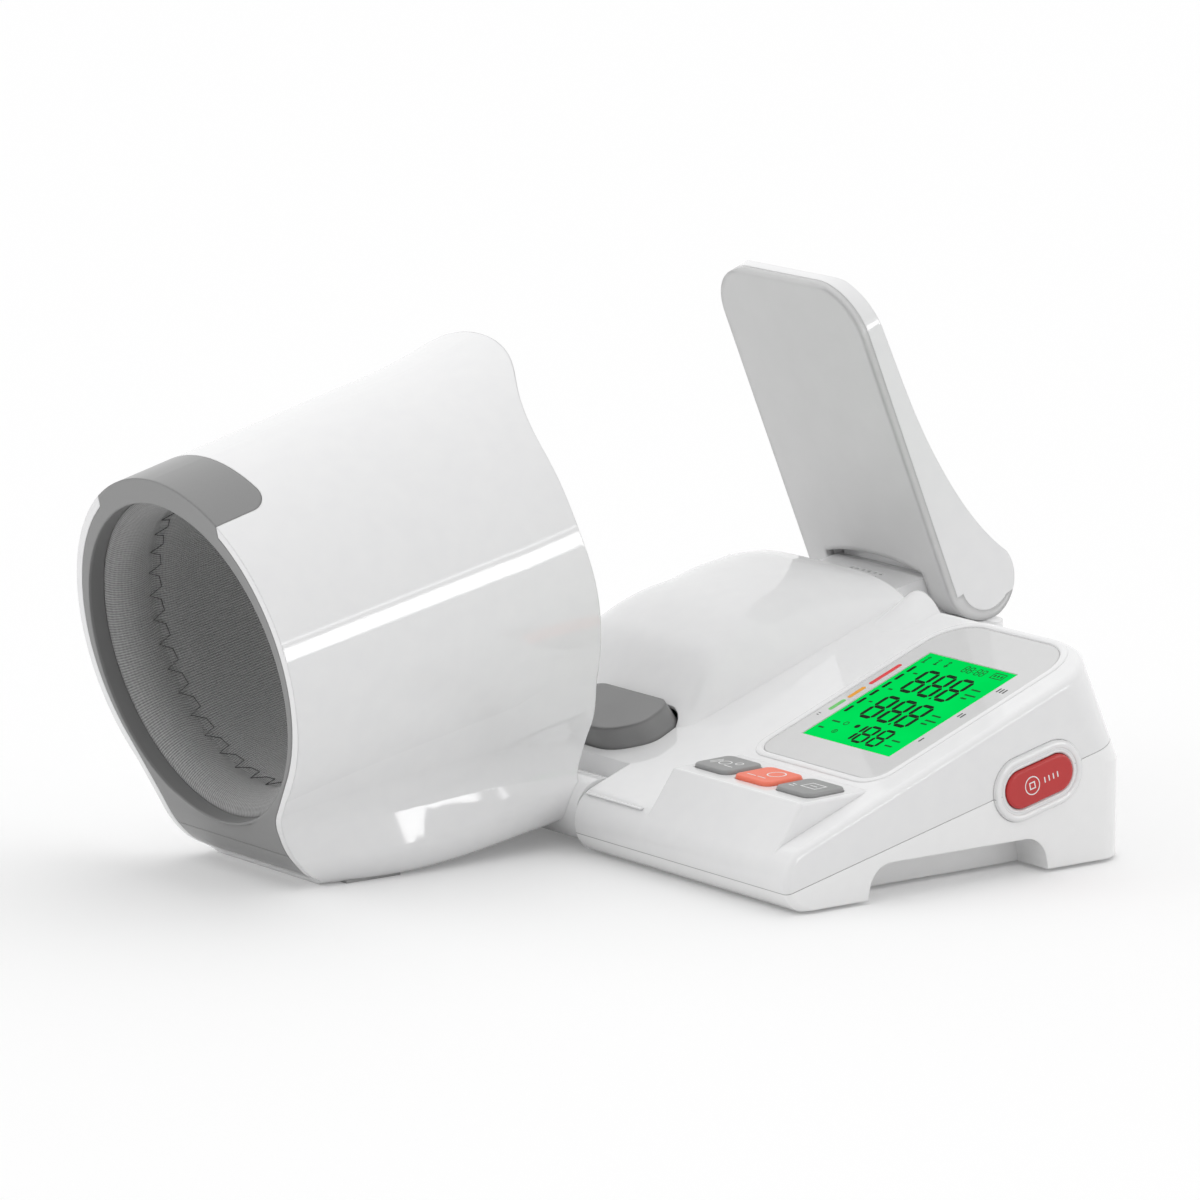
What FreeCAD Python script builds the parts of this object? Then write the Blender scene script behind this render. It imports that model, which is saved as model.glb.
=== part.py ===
"""Arm-in blood pressure monitor: a console with a display, a tilting cuff drum and a folding lid.

Working frame, in millimetres: X runs across with 0 on the arm's centre line, Y runs from the
drum's mouth to the lid, and Z is up from the table. Every piece is moved at the end, so that the
origin of the exported parts lies at the middle of the whole object's footprint.
"""
import FreeCAD, Part
import math
import os

from FreeCAD import Placement, Rotation, Vector

# --- Shells -----------------------------------------------------------------------------------
wall = 2.4                  # thickness of every moulded shell
seat_gap = 0.15             # gap round a piece that sits in a pocket
slide_gap = 0.35            # gap round a key that travels
hinge_gap = 0.05            # radial running clearance of a hinge pin

# --- Console ----------------------------------------------------------------------------------
console_left = 57.0
console_right = 205.0
console_slope = 20.8        # degrees, tilt of the console's face
console_rear = 180.5
console_rear_top = 168.0    # the rear wall leans to this depth at its top
console_corner_r = 17.0     # rounding of the rear right corner, seen from above
console_corner_top_r = 36.0 # the same corner at the top
rear_lean_low = 42.0        # height where the rear wall starts to lean
rear_lean_high = 92.0
rim_round = 3.0             # rounding of the console's right-hand rim
nose_r = 14.7               # rounded front of the console
nose_y = 6.5
nose_z = 12.8
base_bottom = -0.4          # underside of the base
table = -2.0                # the table; feet reach down to it
seam_height = 9.4           # height of the line between the shells at Y = 0
seam_slope = 13.3           # degrees

# --- Left part of the base, under the arm -----------------------------------------------------
base_left = -66.0
deck_front = 21.7
deck_rear = 170.5
hill_start = 50.0           # where the arm rest starts to rise out of the deck
hill_half_width = 58.5
hill_widening = 0.045       # growth of the half width for each millimetre of depth
hill_power = 4.0            # squareness of the arm rest's crown
hill_front_power = 4.0      # further squareness of its front end
hill_sink = 1.5             # how far its skirt dips under the deck
hill_depths = (30.0, 50.0, 62.0, 75.0, 100.0, 125.0, 150.0, 170.0, 182.0)
hill_heights = (-1.5, 0.5, 9.5, 20.5, 24.8, 22.5, 16.5, 7.5, 0.0)
wing_x = 76.0               # small raised wing beside the lid
wing_half_width = 15.0
wing_height = 7.5
wing_start = 128.0

# --- Rear block that carries the lid ----------------------------------------------------------
rear_block_left = -60.0
rear_block_right = 57.5
rear_block_end = 236.0
rear_block_top = 72.0
rear_block_corner = 12.0
saddle_half_width = 33.5
saddle_low_y = 179.0
saddle_low_z = 86.5
saddle_high_y = 206.0
saddle_high_z = 92.0

# --- Lid --------------------------------------------------------------------------------------
lid_axis_y = 226.0
lid_axis_z = 91.0
lid_lean = 22.6             # degrees, forward from upright
lid_half_width = 50.0
lid_front = -21.5           # front face, from the hinge axis, square to the lid
lid_parting = -17.8
lid_tip = 158.0             # from the hinge axis to the tip
lid_tip_crown = 1.0
lid_corner_r = 25.0
lid_barrel_r = 15.0
lid_leg_gap = 1.0
lid_notch = 12.0            # height of the notch between the lid's legs
lid_notch_arch = 4.5
lid_pin_r = 3.0
lid_pin_reach = 12.0        # how far a pin goes into a leg and into the barrel

# --- Drum -------------------------------------------------------------------------------------
drum_pitch = 12.3           # degrees, the arm tunnel climbs to the rear
mouth_y = -169.3            # centre of the mouth
mouth_z = 92.3
drum_r = 79.6
drum_rise = 3.0             # the shell's circle lies this much above the tunnel's
drum_flare = 0.033          # growth of the radius for each millimetre of length
lip_start = 118.0           # the rear end flares out from here
lip_flare = 4.5
drum_length = 178.0
skirt_top = -25.0           # the foot skirt starts inside the circle at this height
skirt_tops = ((62.8, -44.3), (65.9, -41.6), (68.0, -40.1), (69.9, -39.3), (70.8, -40.8),
              (71.0, -46.4), (72.2, -56.0))
skirt_root = 30.0           # half width of the skirt inside the circle
skirt_corner = 13.5
skirt_waist_r = 22.0        # hollow rounding under the circle
skirt_stations = (-6.0, 22.0, 50.0, 88.0, 125.0, 165.0, 205.0)
skirt_waists = ((48.3, -63.5), (49.0, -66.5), (49.3, -69.5), (48.6, -74.5), (46.2, -80.5),
                (41.0, -89.5), (37.0, -99.0))
skirt_low_halves = (42.5, 48.5, 54.4, 56.3, 56.3, 54.5, 50.0)
skirt_bottoms = (-95.0, -101.2, -107.2, -112.5, -115.0, -119.5, -126.0)
front_sweep = ((0.0, -61.0), (0.4, -65.0), (1.4, -70.0), (2.9, -76.0), (5.2, -82.0),
               (8.6, -88.0), (13.6, -94.0), (18.3, -98.0), (21.0, -104.0), (22.5, -120.0))
lip_width = 3.9             # width of the white lip round the grey front
front_thickness = 2.6
chin_seam = -81.5           # height of the seam across the grey front
drum_pad_x = 36.0
drum_pad_front = -118.0
drum_pad_back = -90.0
drum_pad_thickness = 1.4
mouth_r = 71.5
ring_depth = 8.0
tab_half_width = 44.7
tab_length = 28.5
tab_corner_r = 9.0
liner_r = 74.4
liner_wall = 2.0
rim_points = ((-60.0, 330.0), (-19.0, 240.0), (-17.6, 219.5), (-23.0, 210.0), (-30.0, 199.0),
              (-32.5, 188.0), (-30.5, 172.0), (-25.3, 148.0), (-18.3, 125.0), (-10.5, 97.0),
              (-1.5, 72.0), (6.5, 50.0), (4.5, 38.0), (1.0, 30.0), (0.0, 20.0), (0.0, 5.0),
              (0.0, -15.0), (0.0, -40.0))
cuff_end = 146.0
cuff_bore_r = 63.0
cuff_round = 3.6
fabric_skin = 2.0
cuff_roll = 12.0            # length of the padded roll at each end
soft_gap = 0.3

# --- Drum hinge -------------------------------------------------------------------------------
neck_y = 8.0
neck_z = 15.0
neck_r = 14.5
neck_end_gap = 1.0
neck_recess_gap = 0.9
neck_pin_r = 3.0
neck_pin_reach = 9.0
neck_boss_r = 6.5

# --- Display ----------------------------------------------------------------------------------
panel_left = 107.0
panel_right = 187.8
panel_front = 55.6          # measured up the console's slope
panel_back = 174.4
panel_corner = 9.0
panel_big_corner = 19.0
panel_thickness = 1.6
panel_ledge = 1.5
lcd_left = 117.4
lcd_right = 176.8
lcd_front = 73.8
lcd_back = 148.9
lcd_depth = 3.4
lcd_inset = 0.3
backlight_margin = 3.0
backlight_thickness = 5.0
pcb_thickness = 1.6
pcb_margin = 4.0

# --- Keys on the console ----------------------------------------------------------------------
shelf_slope = 1.5           # the keys stand on an almost level shelf
shelf_left = 103.5
shelf_right = 192.5
shelf_back = 45.7           # depth where the shelf meets the console's face
shelf_length = 35.8
shelf_round = 1.2
key_centre = 147.4
key_pitch = 28.2
key_width = 24.0
key_depth = 21.0
key_corner = 4.0
key_row = 18.2              # middle of the row, in front of the shelf's back
key_proud = 1.8
key_travel = 1.2
key_flange = 0.75
post_radius = 1.4
switch_size = 6.0
switch_height = 3.5

# --- Stop key on the right wall ---------------------------------------------------------------
stop_y = 127.3
stop_z = 39.1
stop_tilt = 13.3
stop_half_straight = 10.1
stop_r = 8.35
stop_bezel_r = 14.2
stop_bezel_proud = 1.0
stop_proud = 2.4
stop_travel = 1.5
stop_flange = 1.6

# --- Elbow pad --------------------------------------------------------------------------------
pad_front = 28.0
pad_back = 62.0
pad_centre = 18.0
pad_half_width = 34.0
pad_shoulder = 19.5
pad_corner = 11.0
pad_shoulder_r = 24.0
pad_proud = 9.0
pad_depth = 7.0
pad_draft = 0.9             # size of the top against the foot
pad_travel = 3.0
pad_flange = 2.2

# --- Grip recess in the right wall ------------------------------------------------------------
grip_front = 36.0
grip_back = 133.5
grip_slant = 3.0
grip_height = 14.3
grip_depth = 20.0
grip_corner = 11.5
grip_flare_r = 4.0

# --- Inside the base --------------------------------------------------------------------------
post_r = 4.4
screw_r = 1.5
screw_head_r = 2.9
screw_head_height = 1.6
screw_length = 14.0
screw_places = ((66.0, 32.0), (197.0, 28.0), (72.0, 158.0), (194.0, 160.0), (-56.0, 60.0))
cell_r = 7.1
cell_length = 50.0
cell_pitch = 15.0
holder_left = 96.0
holder_front = 72.0
holder_wall = 1.6
door_margin = 5.0
door_thickness = 1.6
pump_x = 22.0
pump_z = 21.0
pump_r = 13.5
pump_front = 82.0
motor_r = 12.0
pump_head_length = 22.0
motor_length = 34.0
tube_r = 2.5
valve_r = 8.0
valve_length = 18.0
tee_length = 12.0
hose_length = 14.0
speaker_r = 12.5
speaker_depth = 6.0
grille_hole_r = 0.9
grille_pitch = 4.2
socket_x = 150.0
socket_z = 18.0
foot_pad_r = 6.5
foot_pad_pocket = 0.6
foot_pad_places = ((70.0, 12.0), (192.0, 16.0), (182.0, 166.0), (-50.0, 40.0),
                   (-46.0, 222.0), (50.0, 222.0))

far = 600.0                 # reach of cutting tools
pieces = {}


# --- Small helpers ----------------------------------------------------------------------------
def block(x0, x1, y0, y1, z0, z1):
    """Box between two corners."""
    return Part.makeBox(x1 - x0, y1 - y0, z1 - z0, Vector(x0, y0, z0))


def rod_x(radius, x0, x1, y, z):
    """Cylinder along X."""
    return Part.makeCylinder(radius, x1 - x0, Vector(x0, y, z), Vector(1, 0, 0))


def rod_y(radius, y0, y1, x, z):
    """Cylinder along Y."""
    return Part.makeCylinder(radius, y1 - y0, Vector(x, y0, z), Vector(0, 1, 0))


def rod_z(radius, z0, z1, x, y):
    """Cylinder along Z."""
    return Part.makeCylinder(radius, z1 - z0, Vector(x, y, z0))


def side_prism(points, x0, x1):
    """Polygon in Y and Z, carried along X."""
    corners = [Vector(x0, y, z) for y, z in points]
    face = Part.Face(Part.makePolygon(corners + corners[:1]))
    return face.extrude(Vector(x1 - x0, 0, 0))


def rounded_outline(corners, z):
    """Closed wire at height z through (x, y, radius) corners, each rounded by an arc."""
    edges = []
    count = len(corners)
    ends = []
    for i in range(count):
        x, y, radius = corners[i]
        here = Vector(x, y, z)
        before = Vector(corners[i - 1][0], corners[i - 1][1], z) - here
        after = Vector(corners[(i + 1) % count][0], corners[(i + 1) % count][1], z) - here
        before.normalize()
        after.normalize()
        half = before.getAngle(after) / 2
        reach = radius / math.tan(half)
        middle = before + after
        middle.normalize()
        centre = here + middle * (radius / math.sin(half))
        ends.append((here + before * reach, centre - middle * radius, here + after * reach))
    for i in range(count):
        start, middle, end = ends[i]
        edges.append(Part.Arc(start, middle, end).toShape())
        edges.append(Part.makeLine(end, ends[(i + 1) % count][0]))
    return Part.Wire(edges)


def plate(corners, z0, z1):
    """Rounded outline carried from z0 to z1."""
    return Part.Face(rounded_outline(corners, z0)).extrude(Vector(0, 0, z1 - z0))


def rectangle(x0, x1, y0, y1, radius):
    """Corners of a rounded rectangle, for plate()."""
    return ((x0, y0, radius), (x1, y0, radius), (x1, y1, radius), (x0, y1, radius))


def pill(half_straight, radius, z0, z1):
    """Plate with round ends, along X."""
    middle = block(-half_straight, half_straight, -radius, radius, z0, z1)
    left = rod_z(radius, z0, z1, -half_straight, 0)
    right = rod_z(radius, z0, z1, half_straight, 0)
    return middle.fuse([left, right]).removeSplitter()


def moved(shape, placement):
    """Copy of a shape, carried by a placement."""
    copy = shape.copy()
    copy.Placement = placement.multiply(copy.Placement)
    return copy


def joined(shapes):
    """One solid out of several that overlap or touch."""
    return shapes[0].fuse(shapes[1:]).removeSplitter()


def group(shapes):
    """Separate solids in one node."""
    return Part.makeCompound(shapes)


# --- Frames of the sloping parts --------------------------------------------------------------
slope = math.radians(console_slope)
deck_z0 = nose_z + nose_r / math.cos(slope) - nose_y * math.tan(slope)
deck = Placement(Vector(0, 0, deck_z0), Rotation(Vector(1, 0, 0), console_slope))
drum = Placement(Vector(0, mouth_y, mouth_z), Rotation(Vector(1, 0, 0), drum_pitch))
side_view = Placement(Vector(0, 0, 0), Rotation(Vector(1, 1, 1), 120))
lid = Placement(Vector(0, lid_axis_y, lid_axis_z), Rotation(Vector(1, 0, 0), lid_lean))
shelf_height = deck_z0 + shelf_back * math.tan(slope)
shelf = Placement(Vector(0, shelf_back, shelf_height), Rotation(Vector(1, 0, 0), shelf_slope))
shelf = shelf.multiply(Placement(Vector(0, -key_row, 0), Rotation()))
stop_turn = Rotation(Vector(1, 0, 0), stop_tilt).multiply(Rotation(Vector(1, 1, 1), 120))
stop = Placement(Vector(console_right, stop_y, stop_z), stop_turn)


def deck_height(y):
    """Height of the console's face at a depth."""
    return deck_z0 + y * math.tan(slope)


def seam_at(y):
    """Height of the line between the upper and the lower shell at a depth."""
    return seam_height + y * math.tan(math.radians(seam_slope))


def below_seam():
    """Everything under the line between the shells."""
    points = ((-far, -far), (far, -far), (far, seam_at(far)), (-far, seam_at(-far)))
    return side_prism(points, -far, far)


# --- Base: the two shells ---------------------------------------------------------------------
def console_block(x0, x1, inset):
    """Console with its rounded nose, shrunk by an inset; the rear is left long."""
    radius = nose_r - inset
    bottom = base_bottom + inset
    start = Vector(x0, nose_y - math.sqrt(radius ** 2 - (nose_z - bottom) ** 2), bottom)
    front = Vector(x0, nose_y - radius, nose_z)
    top = Vector(x0, nose_y - radius * math.sin(slope), nose_z + radius * math.cos(slope))
    rear_y = console_rear + 10.0
    rear_top = Vector(x0, rear_y, top.z + (rear_y - top.y) * math.tan(slope))
    edges = [Part.Arc(start, front, top).toShape()]
    edges.append(Part.makeLine(top, rear_top))
    edges.append(Part.makeLine(rear_top, Vector(x0, rear_y, bottom)))
    edges.append(Part.makeLine(Vector(x0, rear_y, bottom), start))
    return Part.Face(Part.Wire(edges)).extrude(Vector(x1 - x0, 0, 0))


def console_region(inset):
    """Room inside the console's right and rear walls, with the leaning rear corner."""
    left = console_left - 20.0
    right = console_right - inset
    wires = []
    for z, rear, radius in ((-20.0, console_rear, console_corner_r),
                            (rear_lean_low, console_rear, console_corner_r),
                            (rear_lean_high, console_rear_top, console_corner_top_r)):
        corners = ((left, -60.0, 1.0), (right, -60.0, 1.0), (right, rear - inset, radius - inset),
                   (left, rear - inset, 1.0))
        wires.append(rounded_outline(corners, z))
    lower = Part.makeLoft(wires[:2], True, True)
    upper = Part.makeLoft(wires[1:], True, True)
    return lower.fuse(upper)


def smooth_value(depths, values, y):
    """Value on a smooth curve through evenly treated points (cubic Hermite, flat-limited)."""
    if y <= depths[0]:
        return values[0]
    for i in range(len(depths) - 1):
        if y <= depths[i + 1]:
            break
    else:
        return values[-1]
    rises = [(values[k + 1] - values[k]) / (depths[k + 1] - depths[k])
             for k in range(len(depths) - 1)]

    def tangent(k):
        if k == 0 or k == len(depths) - 1:
            return rises[min(k, len(rises) - 1)]
        if rises[k - 1] * rises[k] <= 0:
            return 0.0
        return 2 * rises[k - 1] * rises[k] / (rises[k - 1] + rises[k])

    span = depths[i + 1] - depths[i]
    t = (y - depths[i]) / span
    ease = t * t * (3 - 2 * t)
    bend = span * (tangent(i) * t * (1 - t) ** 2 - tangent(i + 1) * t * t * (1 - t))
    return values[i] * (1 - ease) + values[i + 1] * ease + bend


def hill_top(x, y):
    """Height of the arm rest's surface."""
    half = hill_half_width + (y - hill_start) * hill_widening
    rise = smooth_value(hill_depths, hill_heights, y) + hill_sink
    power = hill_power + hill_front_power * min(1.0, max(0.0, (115.0 - y) / 50.0))
    return deck_height(y) + rise * (1 - min(1.1, abs(x / half)) ** power) - hill_sink


def wing_top(x, y):
    """Height of the raised wing's surface."""
    across = max(0.0, 1 - ((x - wing_x) / wing_half_width) ** 2)
    along = max(0.0, (y - wing_start) / (console_rear_top - wing_start))
    return deck_height(y) - hill_sink + (wing_height + hill_sink) * across * along ** 2


def relief(height, xs, ys, drop, thickness):
    """Solid under a smooth surface: height(x, y) less drop, and thickness deep."""
    grid = [[Vector(x, y, height(x, y) - drop) for y in ys] for x in xs]
    surface = Part.BSplineSurface()
    surface.interpolate(grid)
    return surface.toShape().extrude(Vector(0, 0, -thickness))


def steps(start, end, count):
    """Evenly spaced values from start to end."""
    return [start + (end - start) * i / (count - 1) for i in range(count)]


def hill(inset):
    """Arm rest, a crowned hill that grows out of the deck."""
    left = base_left + inset
    right = hill_half_width + (deck_rear - hill_start) * hill_widening + 3.0
    back = deck_rear - inset
    return relief(hill_top, steps(left, right, 25), steps(hill_start - 6.0, back, 17), inset, 30.0)


def wing(inset):
    """Raised wing of the console beside the lid."""
    xs = steps(wing_x - wing_half_width - 2.0, wing_x + wing_half_width + 2.0, 13)
    ys = steps(wing_start, console_rear_top - 1.0 - inset, 7)
    return relief(wing_top, xs, ys, inset, 18.0)


def nose_tangent(edge, radius):
    """Slope of the flat that runs from an edge down to the nose's round, and its foot there."""
    reach = edge.y - nose_y
    height = edge.z - nose_z
    tilt = math.acos(radius / math.hypot(height, reach)) - math.atan2(reach, height)
    run = reach * math.cos(tilt) + height * math.sin(tilt)
    return tilt, edge - Vector(0, math.cos(tilt), math.sin(tilt)) * run


def key_block(inset):
    """Block on the console with the shelf for the keys; its front runs into the nose."""
    front = key_row - shelf_length
    tilt, _ = nose_tangent(shelf.multVec(Vector(0, front, 0)), nose_r)
    ease = inset * math.tan((tilt - math.radians(shelf_slope)) / 2)
    edge = shelf.multVec(Vector(0, front + ease, -inset))
    _, foot = nose_tangent(edge, nose_r - inset - 0.02)
    back = shelf.multVec(Vector(0, key_row + 4.0, -inset))
    points = [(foot.y, foot.z), (edge.y, edge.z), (back.y, back.z), (back.y, back.z - 14.0),
              (foot.y + 6.0, foot.z - 6.0)]
    wedge = side_prism(points, shelf_left + inset, shelf_right - inset)
    if inset == 0:
        wedge = wedge.makeFillet(shelf_round, shelf_edges(wedge, foot, edge, back))
    return wedge


def shelf_edges(wedge, foot, edge, back):
    """Edges round the top of the key block: its front, and both sides."""
    found = []
    for line in wedge.Edges:
        ends = [v.Point for v in line.Vertexes]
        near = [any(math.hypot(p.y - q.y, p.z - q.z) < 0.01 for q in (foot, edge, back))
                for p in ends]
        across = abs(ends[0].x - ends[1].x) > 1.0
        at_edge = math.hypot(ends[0].y - edge.y, ends[0].z - edge.z) < 0.01
        if all(near) and (at_edge or not across):
            found.append(line)
    return found


def rear_block(inset):
    """Block behind the arm rest, with the saddle and the barrel of the lid's hinge."""
    left = rear_block_left + inset
    right = rear_block_right - inset
    end = rear_block_end - inset
    bottom = base_bottom + inset
    start = deck_rear - 12.0
    corners = ((left, start, 1.0), (right, start, 1.0), (right, end, rear_block_corner - inset),
               (left, end, rear_block_corner - inset))
    low = plate(corners, bottom, rear_block_top - inset)
    points = ((start, bottom), (start, saddle_low_z - inset), (saddle_low_y, saddle_low_z - inset),
              (saddle_high_y, saddle_high_z - inset), (lid_axis_y, lid_axis_z),
              (lid_axis_y, bottom))
    saddle = side_prism(points, -saddle_half_width + inset, saddle_half_width - inset)
    barrel = rod_x(lid_barrel_r - inset, -saddle_half_width + inset, saddle_half_width - inset,
                   lid_axis_y, lid_axis_z)
    stem = block(-saddle_half_width + inset, saddle_half_width - inset,
                 lid_axis_y - lid_barrel_r + inset, lid_axis_y + 6.0 - inset,
                 rear_block_top - 10.0, lid_axis_z)
    return joined([low, saddle, barrel, stem])


def grip(margin):
    """Hollow in the right wall that fingers go under."""
    flare = base_bottom + 2.0
    corners = ((grip_front - margin, -6.0, 1.0), (grip_back + margin, -6.0, 1.0),
               (grip_back + margin, flare, grip_flare_r),
               (grip_back - grip_slant + margin, grip_height + margin, grip_corner),
               (grip_front + grip_slant - margin, grip_height + margin, grip_corner),
               (grip_front - margin, flare, grip_flare_r))
    inner = console_right - grip_depth - margin
    return moved(plate(corners, inner, console_right + 5.0), side_view)


def rim_edges(console):
    """Edges where the console's face meets its right and rear walls."""
    edges = []
    for edge in console.Edges:
        centre = edge.CenterOfMass
        heights = [abs(v.Z - deck_height(v.Y)) < 0.02 for v in edge.Vertexes]
        if all(heights) and centre.x > console_left + 1.0 and centre.y > nose_y:
            edges.append(edge)
    return edges


def base_body(inset):
    """Whole outline of the base, shrunk by an inset."""
    console = console_block(console_left + inset, console_right - inset, inset)
    console = console.common(console_region(inset))
    if inset == 0:
        console = console.makeFillet(rim_round, rim_edges(console))
    front = deck_front + inset
    rear = deck_rear - inset
    lift = inset / math.cos(slope)
    points = ((front, base_bottom + inset), (front, deck_height(front) - lift),
              (rear, deck_height(rear) - lift), (rear, base_bottom + inset))
    left_part = side_prism(points, base_left + inset, console_left + wall + 1.0)
    parts = [console, left_part, hill(inset), wing(inset), rear_block(inset), key_block(inset)]
    if inset == 0:
        ear = console_block(base_left, -console_left, 0)
        parts.append(ear.cut(block(-far, far, deck_front + 30.0, far, -far, far)))
    body = joined(parts)
    return body.cut(grip(inset))


def pad_outline(grow, z):
    """Outline of the elbow pad on the deck, wider by grow."""
    left = pad_centre - pad_half_width - grow
    right = pad_centre + pad_half_width + grow
    corners = ((pad_centre - pad_shoulder - grow / 2, pad_front - grow, pad_shoulder_r),
               (pad_centre + pad_shoulder + grow / 2, pad_front - grow, pad_shoulder_r),
               (right, pad_front + 13.0, pad_corner), (right - 3.0, pad_back + grow, pad_corner),
               (left + 3.0, pad_back + grow, pad_corner), (left, pad_front + 13.0, pad_corner))
    return rounded_outline(corners, z)


def pad_plate(grow, z0, z1):
    """Slab with the elbow pad's outline, in the deck's frame."""
    return Part.Face(pad_outline(grow, z0)).extrude(Vector(0, 0, z1 - z0))


def panel_corners(grow):
    """Corners of the display panel, wider by grow."""
    return ((panel_left - grow, panel_front - grow, panel_corner + grow),
            (panel_right + grow, panel_front - grow, panel_corner + grow),
            (panel_right + grow, panel_back + grow, panel_big_corner + grow),
            (panel_left - grow, panel_back + grow, panel_big_corner + grow))


def key_spots():
    """Middle of each key along X."""
    return [key_centre + key_pitch * (i - 1) for i in range(3)]


def key_plate(x, grow, z0, z1):
    """Slab with a key's outline, in the shelf's frame."""
    corners = rectangle(x - key_width / 2 - grow, x + key_width / 2 + grow,
                        -key_depth / 2 - grow, key_depth / 2 + grow,
                        key_corner + min(grow, 0.5))
    return plate(corners, z0, z1)


def pump_saddles(top):
    """Two upright ribs under the pump."""
    ribs = []
    for y in (pump_front + 6.0, pump_front + pump_head_length + motor_length - 9.0):
        ribs.append(block(pump_x - 10.0, pump_x + 10.0, y, y + 3.0, base_bottom + 1.0, top))
    return ribs


def make_shells():
    """Upper and lower shell of the base, with their openings, posts and bosses."""
    outer = base_body(0)
    inner = base_body(wall)
    skin = outer.cut(inner)

    posts = []
    for x, y in screw_places:
        posts.append(rod_z(post_r, base_bottom + 1.0, 110.0, x, y).common(outer))
    boss = rod_x(neck_boss_r, console_left + 1.0, console_left + neck_pin_reach + 2.0,
                 neck_y, neck_z)
    skin = joined([skin, boss] + posts)
    lower_tool = below_seam()
    ribs = pump_saddles(pump_z)
    lower = joined([skin.common(lower_tool).cut(boss)] + ribs)
    upper = skin.cut(lower_tool).fuse(boss).removeSplitter()

    neck_room = rod_x(neck_r + neck_recess_gap, -console_left, console_left, neck_y, neck_z)
    neck_pins = rod_x(neck_pin_r, -console_left - neck_pin_reach, console_left + neck_pin_reach,
                      neck_y, neck_z)
    lid_pins = rod_x(lid_pin_r, saddle_half_width - lid_pin_reach, saddle_half_width + 5.0,
                     lid_axis_y, lid_axis_z)
    lid_pins_left = rod_x(lid_pin_r, -saddle_half_width - 5.0, -saddle_half_width + lid_pin_reach,
                          lid_axis_y, lid_axis_z)
    upper = upper.cut([neck_room, neck_pins, lid_pins, lid_pins_left])
    lower = lower.cut(neck_room)

    ledge = moved(plate(panel_corners(seat_gap), -panel_thickness, 12.0), deck)
    window = moved(plate(panel_corners(-panel_ledge), -wall - 6.0, 12.0), deck)
    cuts = [ledge, window]
    for x in key_spots():
        cuts.append(moved(key_plate(x, slide_gap, -8.0, 8.0), shelf))
    cuts.append(moved(pad_plate(slide_gap + 0.3, -14.0, 20.0), deck))
    cuts.append(moved(pill(stop_half_straight, stop_r + slide_gap, -8.0, 8.0), stop))
    bezel_seat = pill(stop_half_straight, stop_bezel_r + seat_gap, -wall / 2, 8.0)
    cuts.append(moved(bezel_seat, stop))
    cuts.append(block(socket_x - 4.6, socket_x + 4.6, console_rear - wall - 2.0,
                      console_rear + 4.0, socket_z - 1.8, socket_z + 1.8))
    cuts.extend(grille_holes())
    upper = upper.cut(cuts)
    lower = lower.cut([moved(bezel_seat, stop),
                       moved(pill(stop_half_straight, stop_r + slide_gap, -8.0, 8.0), stop),
                       block(socket_x - 4.6, socket_x + 4.6, console_rear - wall - 2.0,
                             console_rear + 4.0, socket_z - 1.8, socket_z + 1.8)])

    head_end = pump_front + pump_head_length
    lower_cuts = [rod_y(motor_r + seat_gap, head_end, pump_front + 80.0, pump_x, pump_z),
                  rod_y(pump_r + seat_gap, pump_front, head_end, pump_x, pump_z)]
    for x, y in screw_places:
        lower_cuts.append(rod_z(screw_r + 0.1, -1.0, seam_at(y) + 6.0, x, y))
        lower_cuts.append(rod_z(screw_head_r + 0.2, -1.0, base_bottom + screw_head_height, x, y))
        upper = upper.cut(rod_z(screw_r, -1.0, screw_top(y), x, y))
    for x, y in foot_pad_places:
        lower_cuts.append(rod_z(foot_pad_r, -1.0, base_bottom + foot_pad_pocket, x, y))
    lower_cuts.append(door_plate(seat_gap, -1.0, base_bottom + door_thickness))
    lower_cuts.append(door_plate(-1.5, -1.0, base_bottom + wall + 1.0))
    lower = lower.cut(lower_cuts)
    pieces["base_upper_shell"] = upper
    pieces["base_lower_shell"] = lower


def screw_top(y):
    """Height of a case screw's tip."""
    return base_bottom + screw_head_height + screw_length + seam_at(y) - seam_height


def grille_holes():
    """Sound holes through the saddle, above the speaker."""
    tools = []
    for row in range(4):
        for column in range(6):
            x = (column - 2.5) * grille_pitch
            y = saddle_low_y + 6.0 + row * grille_pitch
            tools.append(rod_z(grille_hole_r, saddle_low_z - 8.0, saddle_high_z + 6.0, x, y))
    return tools


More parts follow.
